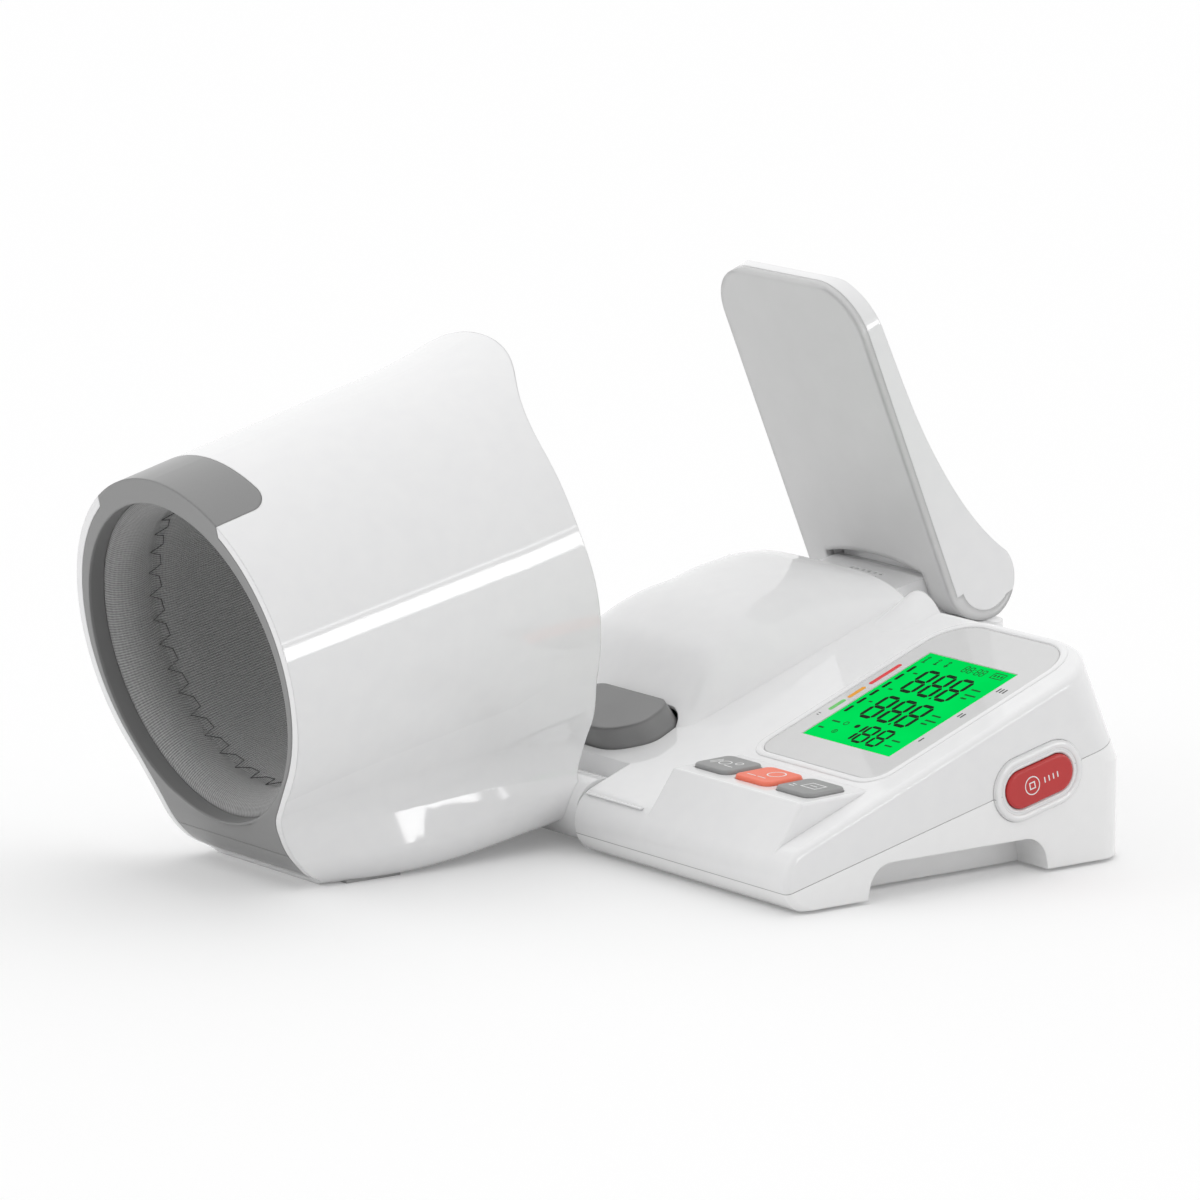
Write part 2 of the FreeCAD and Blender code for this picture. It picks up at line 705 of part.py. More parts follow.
# --- Display ----------------------------------------------------------------------------------
def make_display():
    """Panel, liquid crystal glass, its backlight, the board and its screws."""
    panel = plate(panel_corners(0), -panel_thickness, 0)
    opening = block(lcd_left - 0.1, lcd_right + 0.1, lcd_front - 0.1, lcd_back + 0.1, -10.0, 10.0)
    pieces["display_panel"] = moved(panel.cut(opening), deck)
    glass = block(lcd_left, lcd_right, lcd_front, lcd_back, -lcd_depth, -lcd_inset)
    pieces["lcd_glass"] = moved(glass, deck)
    light_bottom = -lcd_depth - backlight_thickness
    light = block(lcd_left - backlight_margin, lcd_right + backlight_margin,
                  lcd_front - backlight_margin, lcd_back + backlight_margin,
                  light_bottom, -lcd_depth)
    pieces["lcd_backlight"] = moved(light, deck)
    pcb_bottom = light_bottom - pcb_thickness
    board = block(panel_left + pcb_margin, panel_right - pcb_margin, panel_front + pcb_margin,
                  panel_back - pcb_margin, pcb_bottom, light_bottom)
    inset = pcb_margin + 7.0
    spots = [(x, y) for x in (panel_left + inset, panel_right - inset)
             for y in (panel_front + inset, panel_back - inset)]
    bosses = []
    screws = []
    for x, y in spots:
        boss = rod_z(2.8, light_bottom, -wall + 0.5, x, y)
        foot = rod_z(1.1, pcb_bottom, -wall - 0.8, x, y)
        bosses.append(moved(boss.cut(foot), deck))
        shank = rod_z(1.1, pcb_bottom, -wall - 1.0, x, y)
        head = rod_z(2.2, pcb_bottom - 1.4, pcb_bottom, x, y)
        screws.append(moved(shank.fuse(head).removeSplitter(), deck))
        board = board.cut(rod_z(1.1, pcb_bottom - 1.0, light_bottom + 1.0, x, y))
    frame_out = plate(panel_corners(2.0), -wall - 0.6, -panel_thickness)
    frame_in = block(lcd_left - backlight_margin - 0.5, lcd_right + backlight_margin + 0.5,
                     lcd_front - backlight_margin - 0.5, lcd_back + backlight_margin + 0.5,
                     -20.0, 5.0)
    clear = plate(panel_corners(-panel_ledge - seat_gap), -wall - 2.0, 1.0)
    frame = frame_out.common(clear).cut(frame_in)
    pieces["display_frame"] = joined([moved(frame, deck)] + bosses)
    pieces["main_pcb"] = moved(board, deck)
    pieces["pcb_screws"] = group(screws)
    sensor = joined([block(120.0, 129.0, 100.0, 109.0, pcb_bottom - 5.0, pcb_bottom),
                     rod_z(1.8, pcb_bottom - 10.0, pcb_bottom - 4.5, 124.5, 104.5)])
    pieces["pressure_sensor"] = moved(sensor, deck)
    chip = group([block(140.0, 152.0, 112.0, 124.0, pcb_bottom - 1.4, pcb_bottom),
                  block(160.0, 168.0, 90.0, 96.0, pcb_bottom - 1.2, pcb_bottom)])
    pieces["control_chips"] = moved(chip, deck)


# --- Keys -------------------------------------------------------------------------------------
def make_keys():
    """Three console keys, the board under them and its switches."""
    flange_top = -wall - 0.3
    flange_bottom = flange_top - 1.2
    names = ("memory_button", "start_button", "set_button")
    switches = []
    stem_end = flange_bottom - 1.0
    for name, x in zip(names, key_spots()):
        cap = key_plate(x, 0, flange_bottom, key_proud)
        top = [edge for edge in cap.Edges
               if abs(edge.BoundBox.ZMin - edge.BoundBox.ZMax) < 0.01
               and edge.CenterOfMass.z > flange_bottom + 1.0]
        cap = cap.makeFillet(1.0, top)
        flange = key_plate(x, key_flange, flange_bottom, flange_top)
        stem = rod_z(2.0, stem_end, flange_bottom + 0.5, x, 0)
        pieces[name] = moved(joined([cap, flange, stem]), shelf)
        half = switch_size / 2
        bottom = stem_end - key_travel - 0.2 - switch_height
        case = block(x - half, x + half, -half, half, bottom, bottom + 2.6)
        plunger = rod_z(1.7, bottom + 2.0, bottom + switch_height, x, 0)
        switches.append(moved(case.fuse(plunger).removeSplitter(), shelf))
    pieces["key_switches"] = group(switches)
    bottom = stem_end - key_travel - 0.2 - switch_height
    reach = key_depth / 2 + key_flange + post_radius + slide_gap
    board = block(key_spots()[0] - key_width / 2, key_spots()[2] + key_width / 2,
                  -reach - 2.0, reach + 2.0, bottom - pcb_thickness, bottom)
    pieces["key_pcb"] = moved(board, shelf)
    posts = []
    for x in (key_centre - key_pitch / 2, key_centre + key_pitch / 2):
        for side in (-reach, reach):
            posts.append(moved(rod_z(post_radius, bottom, -wall, x, side), shelf))
    pieces["key_pcb_posts"] = group(posts)


def make_stop():
    """Stop key on the right wall, its bezel and its switch."""
    bezel = pill(stop_half_straight, stop_bezel_r, -wall / 2, stop_bezel_proud)
    bezel = bezel.cut(pill(stop_half_straight, stop_r + slide_gap, -10.0, 10.0))
    pieces["stop_bezel"] = moved(bezel, stop)
    flange_top = -wall - 0.3
    cap = pill(stop_half_straight, stop_r, flange_top - 1.2, stop_proud)
    top = [edge for edge in cap.Edges
           if abs(edge.BoundBox.ZMin - stop_proud) < 0.01 and edge.BoundBox.ZMax < stop_proud + 0.01]
    cap = cap.makeFillet(1.2, top)
    flange = pill(stop_half_straight, stop_r + stop_flange, flange_top - 1.2, flange_top)
    pieces["stop_button"] = moved(joined([cap, flange]), stop)
    gap = stop_travel + 0.2
    bottom = flange_top - 1.2 - gap - switch_height
    case = block(-3.0, 3.0, -3.0, 3.0, bottom, bottom + 2.6)
    plunger = rod_z(1.7, bottom + 2.0, bottom + switch_height, 0, 0)
    pieces["stop_switch"] = moved(case.fuse(plunger).removeSplitter(), stop)
    board = block(-15.0, 15.0, -9.0, 9.0, bottom - pcb_thickness, bottom)
    pieces["stop_pcb"] = moved(board, stop)
    arms = []
    for side in (-1, 1):
        low = -9.0 if side < 0 else 5.0
        arm = block(-15.0, 15.0, low, low + 4.0, bottom, bottom + 1.0)
        leg = block(-2.0, 2.0, side * (stop_r + stop_flange + 1.0) - 1.0,
                    side * (stop_r + stop_flange + 1.0) + 1.0, bottom, -wall)
        link = block(-2.0, 2.0, min(low, side * (stop_r + stop_flange + 2.0)),
                     max(low + 4.0, side * (stop_r + stop_flange + 2.0)), bottom, bottom + 1.0)
        arms.append(moved(joined([arm, leg, link]).cut(block(-3.2, 3.2, -3.2, 3.2, -40.0, 5.0)),
                          stop))
    pieces["stop_pcb_brackets"] = group(arms)


def make_elbow():
    """Elbow pad, a broad sprung key in the deck, and its switch."""
    top = pad_outline(0, pad_proud)
    middle = Vector(pad_centre, (pad_front + pad_back) / 2 + 1.0, pad_proud)
    shrink = FreeCAD.Matrix()
    shrink.scale(pad_draft, pad_draft, 1.0)
    top.translate(middle * -1)
    top = top.transformGeometry(shrink)
    top.translate(middle)
    lower = pad_plate(0, -pad_depth, -0.5)
    mid = pad_outline(0, -0.5)
    upper = Part.makeLoft([mid, top], True, True)
    flange = pad_plate(pad_flange, -pad_depth, -pad_depth + 1.6)
    body = joined([lower, upper, flange])
    hollow = pad_plate(-2.4, -pad_depth - 1.0, pad_proud - 6.0)
    stem_y = (pad_front + pad_back) / 2
    stem = rod_z(4.0, -pad_depth, pad_proud - 4.0, pad_centre, stem_y)
    pieces["elbow_pad"] = moved(joined([body.cut(hollow), stem]), deck)
    gap = pad_travel + 0.3
    top_z = -pad_depth - gap
    case = block(pad_centre - 6.0, pad_centre + 6.0, stem_y - 3.0, stem_y + 3.0,
                 top_z - 7.0, top_z - 1.5)
    plunger = rod_z(2.0, top_z - 2.5, top_z, pad_centre, stem_y)
    pieces["elbow_switch"] = moved(case.fuse(plunger).removeSplitter(), deck)
    seat = moved(block(pad_centre - 7.0, pad_centre + 7.0, stem_y - 4.0, stem_y + 4.0,
                       top_z - 9.0, top_z - 7.0), deck)
    box = seat.BoundBox
    leg = block(pad_centre - 5.0, pad_centre + 5.0, box.YMin + 1.0, box.YMax - 1.0,
                base_bottom + wall, box.ZMin + 1.2)
    pieces["elbow_switch_bracket"] = joined([seat, leg])


# --- Drum -------------------------------------------------------------------------------------
def drum_round(inset):
    """Round part of the drum's form, flared at the rear, in the drum's frame."""
    start = -10.0
    end = drum_length + 30.0
    profile = [(start, drum_r + drum_flare * start), (lip_start, drum_r + drum_flare * lip_start)]
    turn = drum_r + drum_flare * (drum_length - 20.0)
    flare = [(lip_start, profile[1][1]), (drum_length - 20.0, turn + lip_flare * 0.25),
             (drum_length, turn + lip_flare)]
    points = [Vector(0, s, drum_rise + r - inset) for s, r in profile]
    curve = Part.BSplineCurve()
    curve.interpolate([Vector(0, s, drum_rise + r - inset) for s, r in flare])
    last = curve.EndPoint
    edges = [Part.makeLine(points[0], points[1]), curve.toShape(),
             Part.makeLine(last, Vector(0, end, last.z + 4.0)),
             Part.makeLine(Vector(0, end, last.z + 4.0), Vector(0, end, drum_rise)),
             Part.makeLine(Vector(0, end, drum_rise), Vector(0, start, drum_rise)),
             Part.makeLine(Vector(0, start, drum_rise), points[0])]
    face = Part.Face(Part.Wire(edges))
    return face.revolve(Vector(0, 0, drum_rise), Vector(0, 1, 0), 360)


def drum_skirt(inset):
    """Foot skirt under the drum, with rounded lower corners, in the drum's frame."""
    upright = Placement(Vector(0, 0, 0), Rotation(Vector(1, 0, 0), 90))
    sections = []
    for s, waist, shoulder, low_half, bottom in zip(skirt_stations, skirt_waists, skirt_tops,
                                                    skirt_low_halves, skirt_bottoms):
        low = low_half - inset
        top = shoulder[0] - inset
        mid = waist[0] - inset
        base = bottom + inset
        corners = ((-low, base, skirt_corner - inset), (low, base, skirt_corner - inset),
                   (mid, waist[1], skirt_waist_r), (top, shoulder[1], 1.0),
                   (skirt_root, skirt_top, 1.0), (-skirt_root, skirt_top, 1.0),
                   (-top, shoulder[1], 1.0), (-mid, waist[1], skirt_waist_r))
        wire = moved(rounded_outline(corners, -s), upright)
        sections.append(wire)
    return Part.makeLoft(sections, True, False)


def drum_hull(inset):
    """Drum's outer form, shrunk by an inset, in the working frame."""
    return moved(drum_round(inset).fuse(drum_skirt(inset)), drum)


def before_sweep(shift):
    """Everything in front of the drum's swept front face, moved back by shift."""
    curve = Part.BSplineCurve()
    curve.interpolate([Vector(-300, s + shift, v) for s, v in front_sweep])
    top = curve.StartPoint
    bottom = curve.EndPoint
    corners = [bottom, Vector(-300, -far, bottom.z), Vector(-300, -far, far),
               Vector(-300, top.y, far), top]
    edges = [curve.toShape()] + [Part.makeLine(corners[i], corners[i + 1]) for i in range(4)]
    return moved(Part.Face(Part.Wire(edges)).extrude(Vector(600, 0, 0)), drum)


def behind_rim(shift):
    """Everything behind the drum's wavy rear rim, moved by shift along Y, working frame."""
    curve = Part.BSplineCurve()
    curve.interpolate([Vector(-300, y + shift, z) for y, z in rim_points])
    top = curve.StartPoint
    bottom = curve.EndPoint
    corners = [top, Vector(-300, far, top.z), Vector(-300, far, bottom.z), bottom]
    edges = [Part.makeLine(corners[i], corners[i + 1]) for i in range(3)]
    face = Part.Face(Part.Wire([curve.toShape()] + edges[::-1]))
    return face.extrude(Vector(600, 0, 0))


def drum_rod(radius, start, end):
    """Cylinder on the tunnel's axis, working frame."""
    return moved(rod_y(radius, start, end, 0, 0), drum)


def tab_region(grow):
    """Upright prism over the tab of the mouth ring, working frame."""
    half = tab_half_width + grow
    corners = ((-half, -20.0, 1.0), (half, -20.0, 1.0), (half, tab_length + grow, tab_corner_r),
               (-half, tab_length + grow, tab_corner_r))
    return moved(plate(corners, 30.0, 130.0), drum)


def make_drum():
    """Drum: white shell with its neck, grey front with the tab, chin, liner and rear ring."""
    ahead = before_sweep(0)
    behind = before_sweep(front_thickness)
    outline = drum_hull(0)
    hull = outline.cut(ahead)
    room = drum_hull(wall).cut(before_sweep(front_thickness + 1.4))
    front_room = drum_hull(lip_width).common(before_sweep(front_thickness + 1.5))
    back = behind_rim(0)
    half = console_left - neck_end_gap
    low = rod_x(neck_r, -half, half, neck_y, neck_z)
    tab = tab_region(0)
    pins = []
    for side in (-1, 1):
        ends = sorted((side * (half - neck_pin_reach), side * (half + 5.0)))
        pins.append(rod_x(neck_pin_r + hinge_gap, ends[0], ends[1], neck_y, neck_z))
    white = hull.cut([room, front_room, back, tab_region(seat_gap)])
    skin = joined([largest(white), low.cut(room.cut(back))])
    barrel_core = rod_x(neck_r - wall * 1.6, -half + 13.0, half - 13.0, neck_y, neck_z)
    pieces["drum_shell"] = largest(skin.cut([barrel_core] + pins))

    inner_front = drum_hull(lip_width + seat_gap)
    slab = inner_front.cut(ahead).common(behind)
    flange = outline.cut(ahead).common(behind).common(tab)
    tab_skin = hull.cut(drum_hull(wall)).common(tab)
    throat = drum_rod(mouth_r + 1.2, 0.5, ring_depth)
    grey = joined([slab, flange, tab_skin, throat]).cut(drum_rod(mouth_r, -30.0, 60.0))
    chin_zone = moved(block(-far, far, -far, far, -far, chin_seam), drum)
    pieces["mouth_ring"] = largest(grey.cut(chin_zone))
    pieces["drum_chin"] = largest(grey.common(chin_zone))

    liner = drum_rod(liner_r, front_thickness, 400.0)
    liner = liner.cut(drum_rod(liner_r - liner_wall, -10.0, 410.0))
    liner = liner.cut([behind_rim(-wall), before_sweep(front_thickness + 1.6),
                       drum_rod(mouth_r + 1.2 + seat_gap, -5.0, ring_depth + seat_gap)])
    pieces["drum_liner"] = largest(liner)
    rear = room.cut([drum_rod(liner_r, -20.0, 420.0), back, low]).common(behind_rim(-wall))
    pieces["drum_rear_ring"] = largest(rear)
    pads = []
    for side in (-1, 1):
        pads.append(block(side * drum_pad_x - 7.0, side * drum_pad_x + 7.0, drum_pad_front,
                          drum_pad_back, table, table + drum_pad_thickness))
    pieces["drum_foot_pads"] = group(pads)
    pieces["drum_shell"] = pieces["drum_shell"].cut(pads)


def largest(shape):
    """Biggest solid of a shape."""
    return max(shape.Solids, key=lambda solid: solid.Volume)


def make_cuff():
    """Inflatable cuff inside the drum: fabric sleeve, air bladder and air port."""
    outer_r = liner_r - liner_wall - soft_gap
    start = ring_depth + 1.0
    sleeve = rod_y(outer_r, start, cuff_end, 0, 0).cut(rod_y(cuff_bore_r, -5.0, 300.0, 0, 0))
    ends = [edge for edge in sleeve.Edges if edge.BoundBox.YLength < 0.01]
    sleeve = sleeve.makeFillet(cuff_round, ends)
    hole = rod_y(outer_r + 2.0, start + cuff_roll, cuff_end - cuff_roll, 0, 0)
    hole = hole.cut(rod_y(cuff_bore_r + fabric_skin, -5.0, 300.0, 0, 0))
    pieces["cuff_fabric"] = moved(sleeve.cut(hole), drum)
    bladder = rod_y(outer_r, start + cuff_roll + soft_gap, cuff_end - cuff_roll - soft_gap, 0, 0)
    bladder = bladder.cut(rod_y(cuff_bore_r + fabric_skin + soft_gap, -5.0, 300.0, 0, 0))
    pieces["air_bladder"] = moved(bladder, drum)
    port = rod_z(2.2, -liner_r - 9.0, -outer_r + 0.2, 0, 100.0)
    port = port.fuse(rod_z(4.5, -liner_r - 1.6, -liner_r, 0, 100.0)).removeSplitter()
    port = moved(port, drum)
    pieces["cuff_air_port"] = port.cut(pieces["air_bladder"])
    pieces["drum_liner"] = pieces["drum_liner"].cut(port)


# --- Hinge pins -------------------------------------------------------------------------------
def make_pins():
    """Pins of the drum's hinge and of the lid's hinge."""
    half = console_left - neck_end_gap
    pins = []
    for side in (-1, 1):
        ends = sorted((side * (half - neck_pin_reach + 0.5), side * (console_left + neck_pin_reach)))
        pins.append(rod_x(neck_pin_r, ends[0], ends[1], neck_y, neck_z))
    pieces["drum_hinge_pins"] = group(pins)
    lid_pins = []
    for side in (-1, 1):
        ends = sorted((side * (saddle_half_width - lid_pin_reach),
                       side * (saddle_half_width + lid_leg_gap + lid_pin_reach)))
        lid_pins.append(rod_x(lid_pin_r, ends[0], ends[1], lid_axis_y, lid_axis_z))
    pieces["lid_hinge_pins"] = group(lid_pins)


# --- Lid --------------------------------------------------------------------------------------
lid_back = ((-11.3, 155.5), (-10.7, 147.0), (-9.4, 117.0), (-7.7, 85.0), (-3.6, 57.0), (4.7, 27.0),
            (15.0, 6.0))


def lid_profile(inset):
    """Side view of the lid in its own frame, as a solid across the full width."""
    knuckle = 16.4 - inset
    top = lid_tip - inset
    half = lid_half_width - inset
    front = lid_front + inset
    back = [Vector(-half, y - inset, z) for y, z in lid_back]
    curve = Part.BSplineCurve()
    curve.interpolate(back)
    start = curve.StartPoint
    end = curve.EndPoint
    tip_mid = Vector(-half, (front + start.y) / 2, top + lid_tip_crown)
    low_mid = Vector(-half, 0.0, -18.4 + inset)
    low_front = Vector(-half, front, 4.0)
    top_front = Vector(-half, front, top - 1.5)
    edges = [Part.Arc(top_front, tip_mid, start).toShape(), curve.toShape()]
    edges.append(Part.Arc(end, Vector(-half, knuckle * 0.72, -knuckle * 0.72), low_mid).toShape())
    edges.append(Part.Arc(low_mid, Vector(-half, front + 5.5, -11.5 + inset), low_front).toShape())
    edges.append(Part.makeLine(low_front, top_front))
    return Part.Face(Part.Wire(edges)).extrude(Vector(2 * half, 0, 0))


def lid_outline(inset):
    """Front view of the lid with its rounded top corners, in the lid's frame."""
    half = lid_half_width - inset
    radius = lid_corner_r - inset
    corners = ((-half, -40.0, 1.0), (half, -40.0, 1.0), (half, lid_tip - inset, radius),
               (-half, lid_tip - inset, radius))
    upright = Placement(Vector(0, 0, 0), Rotation(Vector(1, 0, 0), 90))
    return moved(plate(corners, -60.0, 60.0), upright)


def make_lid():
    """Folding lid: inner plate with two legs, and the shell behind it."""
    body = lid_profile(0).common(lid_outline(0))
    slot = saddle_half_width + lid_leg_gap
    notch = block(-slot, slot, -60.0, 60.0, -60.0, lid_notch)
    arch = Part.makeCylinder(slot * 4.0, 120.0, Vector(0, -60.0, lid_notch + lid_notch_arch
                             - slot * 4.0), Vector(0, 1, 0))
    arch = arch.common(block(-slot, slot, -60.0, 60.0, 0.0, 60.0))
    round_barrel = rod_x(lid_barrel_r + 1.2, -slot, slot, 0, 0)
    body = body.cut([notch, arch, round_barrel])
    holes = []
    for side in (-1, 1):
        ends = sorted((side * (slot - 2.0), side * (slot + lid_pin_reach + 0.5)))
        holes.append(rod_x(lid_pin_r + hinge_gap, ends[0], ends[1], 0, 0))
    front_zone = block(-80.0, 80.0, -60.0, lid_parting, 6.0, 200.0)
    under = block(-80.0, 80.0, -60.0, 60.0, -60.0, 6.0).cut(rod_x(14.2, -80.0, 80.0, 0, 0))
    under = under.cut(block(-80.0, 80.0, 0.0, 60.0, -12.0, 20.0))
    under = under.cut(block(-80.0, 80.0, lid_parting, 60.0, 0.0, 20.0))
    zone = front_zone.fuse(under).removeSplitter()
    plate_piece = body.common(zone)
    shell = body.cut(zone)
    cavity = lid_profile(wall).common(lid_outline(wall))
    cavity = cavity.common(block(-80.0, 80.0, lid_parting - 0.01, 60.0, 26.0, 200.0))
    shell = shell.cut([cavity] + holes)
    pieces["lid_inner_plate"] = moved(largest(plate_piece), lid)
    pieces["lid_outer_shell"] = moved(largest(shell), lid)


# --- Inside the base --------------------------------------------------------------------------
def door_plate(grow, z0, z1):
    """Slab with the battery door's outline."""
    width = cell_length + 2 * holder_wall + 4.0
    depth = 4 * cell_pitch + 2 * holder_wall
    return plate(rectangle(holder_left - door_margin - grow, holder_left + width + door_margin + grow,
                           holder_front - door_margin - grow,
                           holder_front + depth + door_margin + grow, 3.0), z0, z1)


def make_power():
    """Battery tray, cells, door and the power socket."""
    floor = base_bottom + wall + 0.4
    width = cell_length + 2 * holder_wall + 4.0
    depth = 4 * cell_pitch + 2 * holder_wall
    tray = block(holder_left, holder_left + width, holder_front, holder_front + depth,
                 floor, floor + 2 * cell_r + holder_wall)
    room = block(holder_left + holder_wall, holder_left + width - holder_wall,
                 holder_front + holder_wall, holder_front + depth - holder_wall,
                 floor - 1.0, floor + 2 * cell_r)
    lip = block(holder_left - 4.0, holder_left + width + 4.0, holder_front - 4.0,
                holder_front + depth + 4.0, base_bottom + wall, floor)
    hole = block(holder_left + holder_wall, holder_left + width - holder_wall,
                 holder_front + holder_wall, holder_front + depth - holder_wall, -5.0, floor + 1.0)
    pieces["battery_tray"] = joined([tray.cut(room), lip.cut(hole)])
    cells = []
    contacts = []
    for i in range(4):
        y = holder_front + holder_wall + cell_pitch * (i + 0.5)
        x0 = holder_left + holder_wall + 2.0
        z = floor + cell_r
        cell = joined([rod_x(cell_r, x0, x0 + cell_length - 1.5, y, z),
                       rod_x(2.7, x0 + cell_length - 2.0, x0 + cell_length, y, z)])
        cells.append(cell)
        contacts.append(block(x0 - 2.0, x0, y - 4.5, y + 4.5, z - 4.0, z + 4.0))
        contacts.append(block(x0 + cell_length, x0 + cell_length + 2.0, y - 4.5, y + 4.5,
                              z - 4.0, z + 4.0))
    pieces["battery_cells"] = group(cells)
    pieces["battery_contacts"] = group(contacts)
    pieces["battery_door"] = door_plate(0, base_bottom, base_bottom + door_thickness)
    shell = block(socket_x - 4.5, socket_x + 4.5, console_rear - 9.0, console_rear - 0.4,
                  socket_z - 1.7, socket_z + 1.7)
    body = block(socket_x - 7.0, socket_x + 7.0, console_rear - wall - 8.0, console_rear - wall,
                 socket_z - 4.0, socket_z + 4.0)
    mouth = block(socket_x - 3.6, socket_x + 3.6, console_rear - 6.0, console_rear + 1.0,
                  socket_z - 1.0, socket_z + 1.0)
    pieces["power_socket"] = joined([shell, body]).cut(mouth)


def make_air():
    """Pump with its motor, valve, tee and the hoses between them."""
    y0 = pump_front
    head = rod_y(pump_r, y0, y0 + pump_head_length, pump_x, pump_z)
    nozzle = rod_y(tube_r - 0.8, y0 - 6.0, y0 + 1.0, pump_x, pump_z)
    pieces["air_pump"] = joined([head, nozzle])
    motor = rod_y(motor_r, y0 + pump_head_length, y0 + pump_head_length + motor_length,
                  pump_x, pump_z)
    shaft_cap = rod_y(4.0, y0 + pump_head_length + motor_length - 0.5,
                      y0 + pump_head_length + motor_length + 2.5, pump_x, pump_z)
    pieces["pump_motor"] = joined([motor, shaft_cap])
    hose = rod_y(tube_r, y0 - hose_length, y0, pump_x, pump_z)
    hose = hose.cut(rod_y(tube_r - 0.8, y0 - hose_length - 1.0, y0 + 1.0, pump_x, pump_z))
    tee_y = y0 - hose_length
    tee = joined([rod_y(tube_r + 1.0, tee_y - tee_length, tee_y, pump_x, pump_z),
                  rod_y(tube_r - 0.8, tee_y - 1.0, tee_y + 5.0, pump_x, pump_z),
                  rod_x(tube_r, pump_x - 9.0, pump_x, tee_y - tee_length / 2, pump_z)])
    pieces["air_tee"] = tee
    pieces["air_hose"] = hose
    end = pump_x - 9.0
    valve = rod_x(valve_r, end - valve_length, end, tee_y - tee_length / 2, pump_z)
    stem = rod_x(3.0, end - valve_length - 3.0, end - valve_length + 0.5,
                 tee_y - tee_length / 2, pump_z)
    pieces["release_valve"] = joined([valve, stem])
    post = block(end - valve_length + 3.0, end - 3.0, tee_y - tee_length / 2 - 5.0,
                 tee_y - tee_length / 2 + 5.0, base_bottom + wall, pump_z)
    pieces["valve_bracket"] = post.cut(rod_x(valve_r + seat_gap, end - valve_length - 5.0, end + 5.0,
                                             tee_y - tee_length / 2, pump_z))


def make_speaker():
    """Small speaker on a cradle under the sound holes."""
    top = saddle_low_z - wall - 1.0
    y = saddle_low_y + 6.0 + 1.5 * grille_pitch
    cone = rod_z(speaker_r, top - speaker_depth, top, 0, y)
    magnet = rod_z(6.0, top - speaker_depth - 4.0, top - speaker_depth, 0, y)
    pieces["speaker"] = joined([cone, magnet])
    ring = rod_z(speaker_r + 1.6, top - speaker_depth, saddle_high_z + 2.0, 0, y)
    ring = ring.cut(rod_z(speaker_r + seat_gap, 0.0, 200.0, 0, y))
    ring = ring.common(base_body(wall))
    pieces["speaker_cradle"] = largest(ring)


def make_fasteners():
    """Case screws and rubber feet."""
    screws = []
    for x, y in screw_places:
        head_top = base_bottom + screw_head_height
        head = rod_z(screw_head_r, base_bottom, head_top, x, y)
        slot = block(x - 2.0, x + 2.0, y - 0.4, y + 0.4, base_bottom - 1.0, base_bottom + 0.8)
        shank = rod_z(screw_r, head_top - 0.5, screw_top(y), x, y)
        screws.append(joined([head.cut(slot), shank]))
    pieces["case_screws"] = group(screws)
    feet = []
    for x, y in foot_pad_places:
        feet.append(rod_z(foot_pad_r, table, base_bottom + foot_pad_pocket, x, y))
    pieces["rubber_feet"] = group(feet)


def export():
    """Move the origin to the middle of the footprint and write one file for each piece."""
    os.makedirs("parts", exist_ok=True)
    whole = Part.makeCompound(list(pieces.values())).optimalBoundingBox(False, False)
    shift = Vector(-(whole.XMin + whole.XMax) / 2, -(whole.YMin + whole.YMax) / 2, -whole.ZMin)
    print("shift", [round(value, 3) for value in shift], "size",
          [round(value, 2) for value in (whole.XLength, whole.YLength, whole.ZLength)])
    for name, shape in pieces.items():
        kept = shape.copy()
        kept.translate(shift)
        print(name, len(kept.Solids), round(kept.Volume, 1), kept.isValid())
        kept.exportStep("parts/" + name + ".step")


make_shells()
make_display()
make_keys()
make_stop()
make_elbow()
make_drum()
make_cuff()
make_pins()
make_lid()
make_power()
make_air()
make_speaker()
make_fasteners()
export()
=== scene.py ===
"""Looks of the arm-in blood pressure monitor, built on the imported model."""
import math

import bpy
from mathutils import Matrix, Vector


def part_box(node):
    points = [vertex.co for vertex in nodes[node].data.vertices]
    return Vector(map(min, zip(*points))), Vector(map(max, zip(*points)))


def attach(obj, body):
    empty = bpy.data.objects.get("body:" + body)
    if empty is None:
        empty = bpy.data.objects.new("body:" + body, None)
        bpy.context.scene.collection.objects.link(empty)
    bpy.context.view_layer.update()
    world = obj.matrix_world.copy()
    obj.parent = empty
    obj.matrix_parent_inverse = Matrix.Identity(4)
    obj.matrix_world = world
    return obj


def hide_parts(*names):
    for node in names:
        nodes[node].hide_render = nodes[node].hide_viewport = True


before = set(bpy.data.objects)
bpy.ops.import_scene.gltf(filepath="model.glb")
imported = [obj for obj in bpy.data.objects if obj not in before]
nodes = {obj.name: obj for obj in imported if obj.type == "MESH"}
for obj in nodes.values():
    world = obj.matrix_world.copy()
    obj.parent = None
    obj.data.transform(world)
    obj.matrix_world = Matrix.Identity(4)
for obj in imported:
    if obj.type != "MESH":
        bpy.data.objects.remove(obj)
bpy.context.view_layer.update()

MM = 0.001      # metres


# --- Where the sloping faces lie -----------------------------------------------------------------
deck_slope = math.radians(20.8)
shelf_slope = math.radians(1.5)
drum_lean = math.radians(12.3)
parting_slope = math.radians(13.3)      # of the shells' parting line, and of the stop key
parting_height = 9.4 * MM               # of that line, above the point the case is drawn from

pin_low, pin_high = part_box("drum_hinge_pins")
glass_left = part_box("lcd_glass")[0].x
# The point that the case is drawn from: below the drum's axis, 2 mm above the table.
arm_line = Vector((glass_left - 117.4 * MM, (pin_low.y + pin_high.y) / 2 - 8 * MM,
                   (pin_low.z + pin_high.z) / 2 - 15 * MM))


def face_frame(point, turn):
    """Matrix from a face's own millimetres, with the given point as 0, to metres in the frame."""
    return Matrix.Translation(arm_line + Vector(point) * MM) @ turn @ Matrix.Scale(MM, 4)


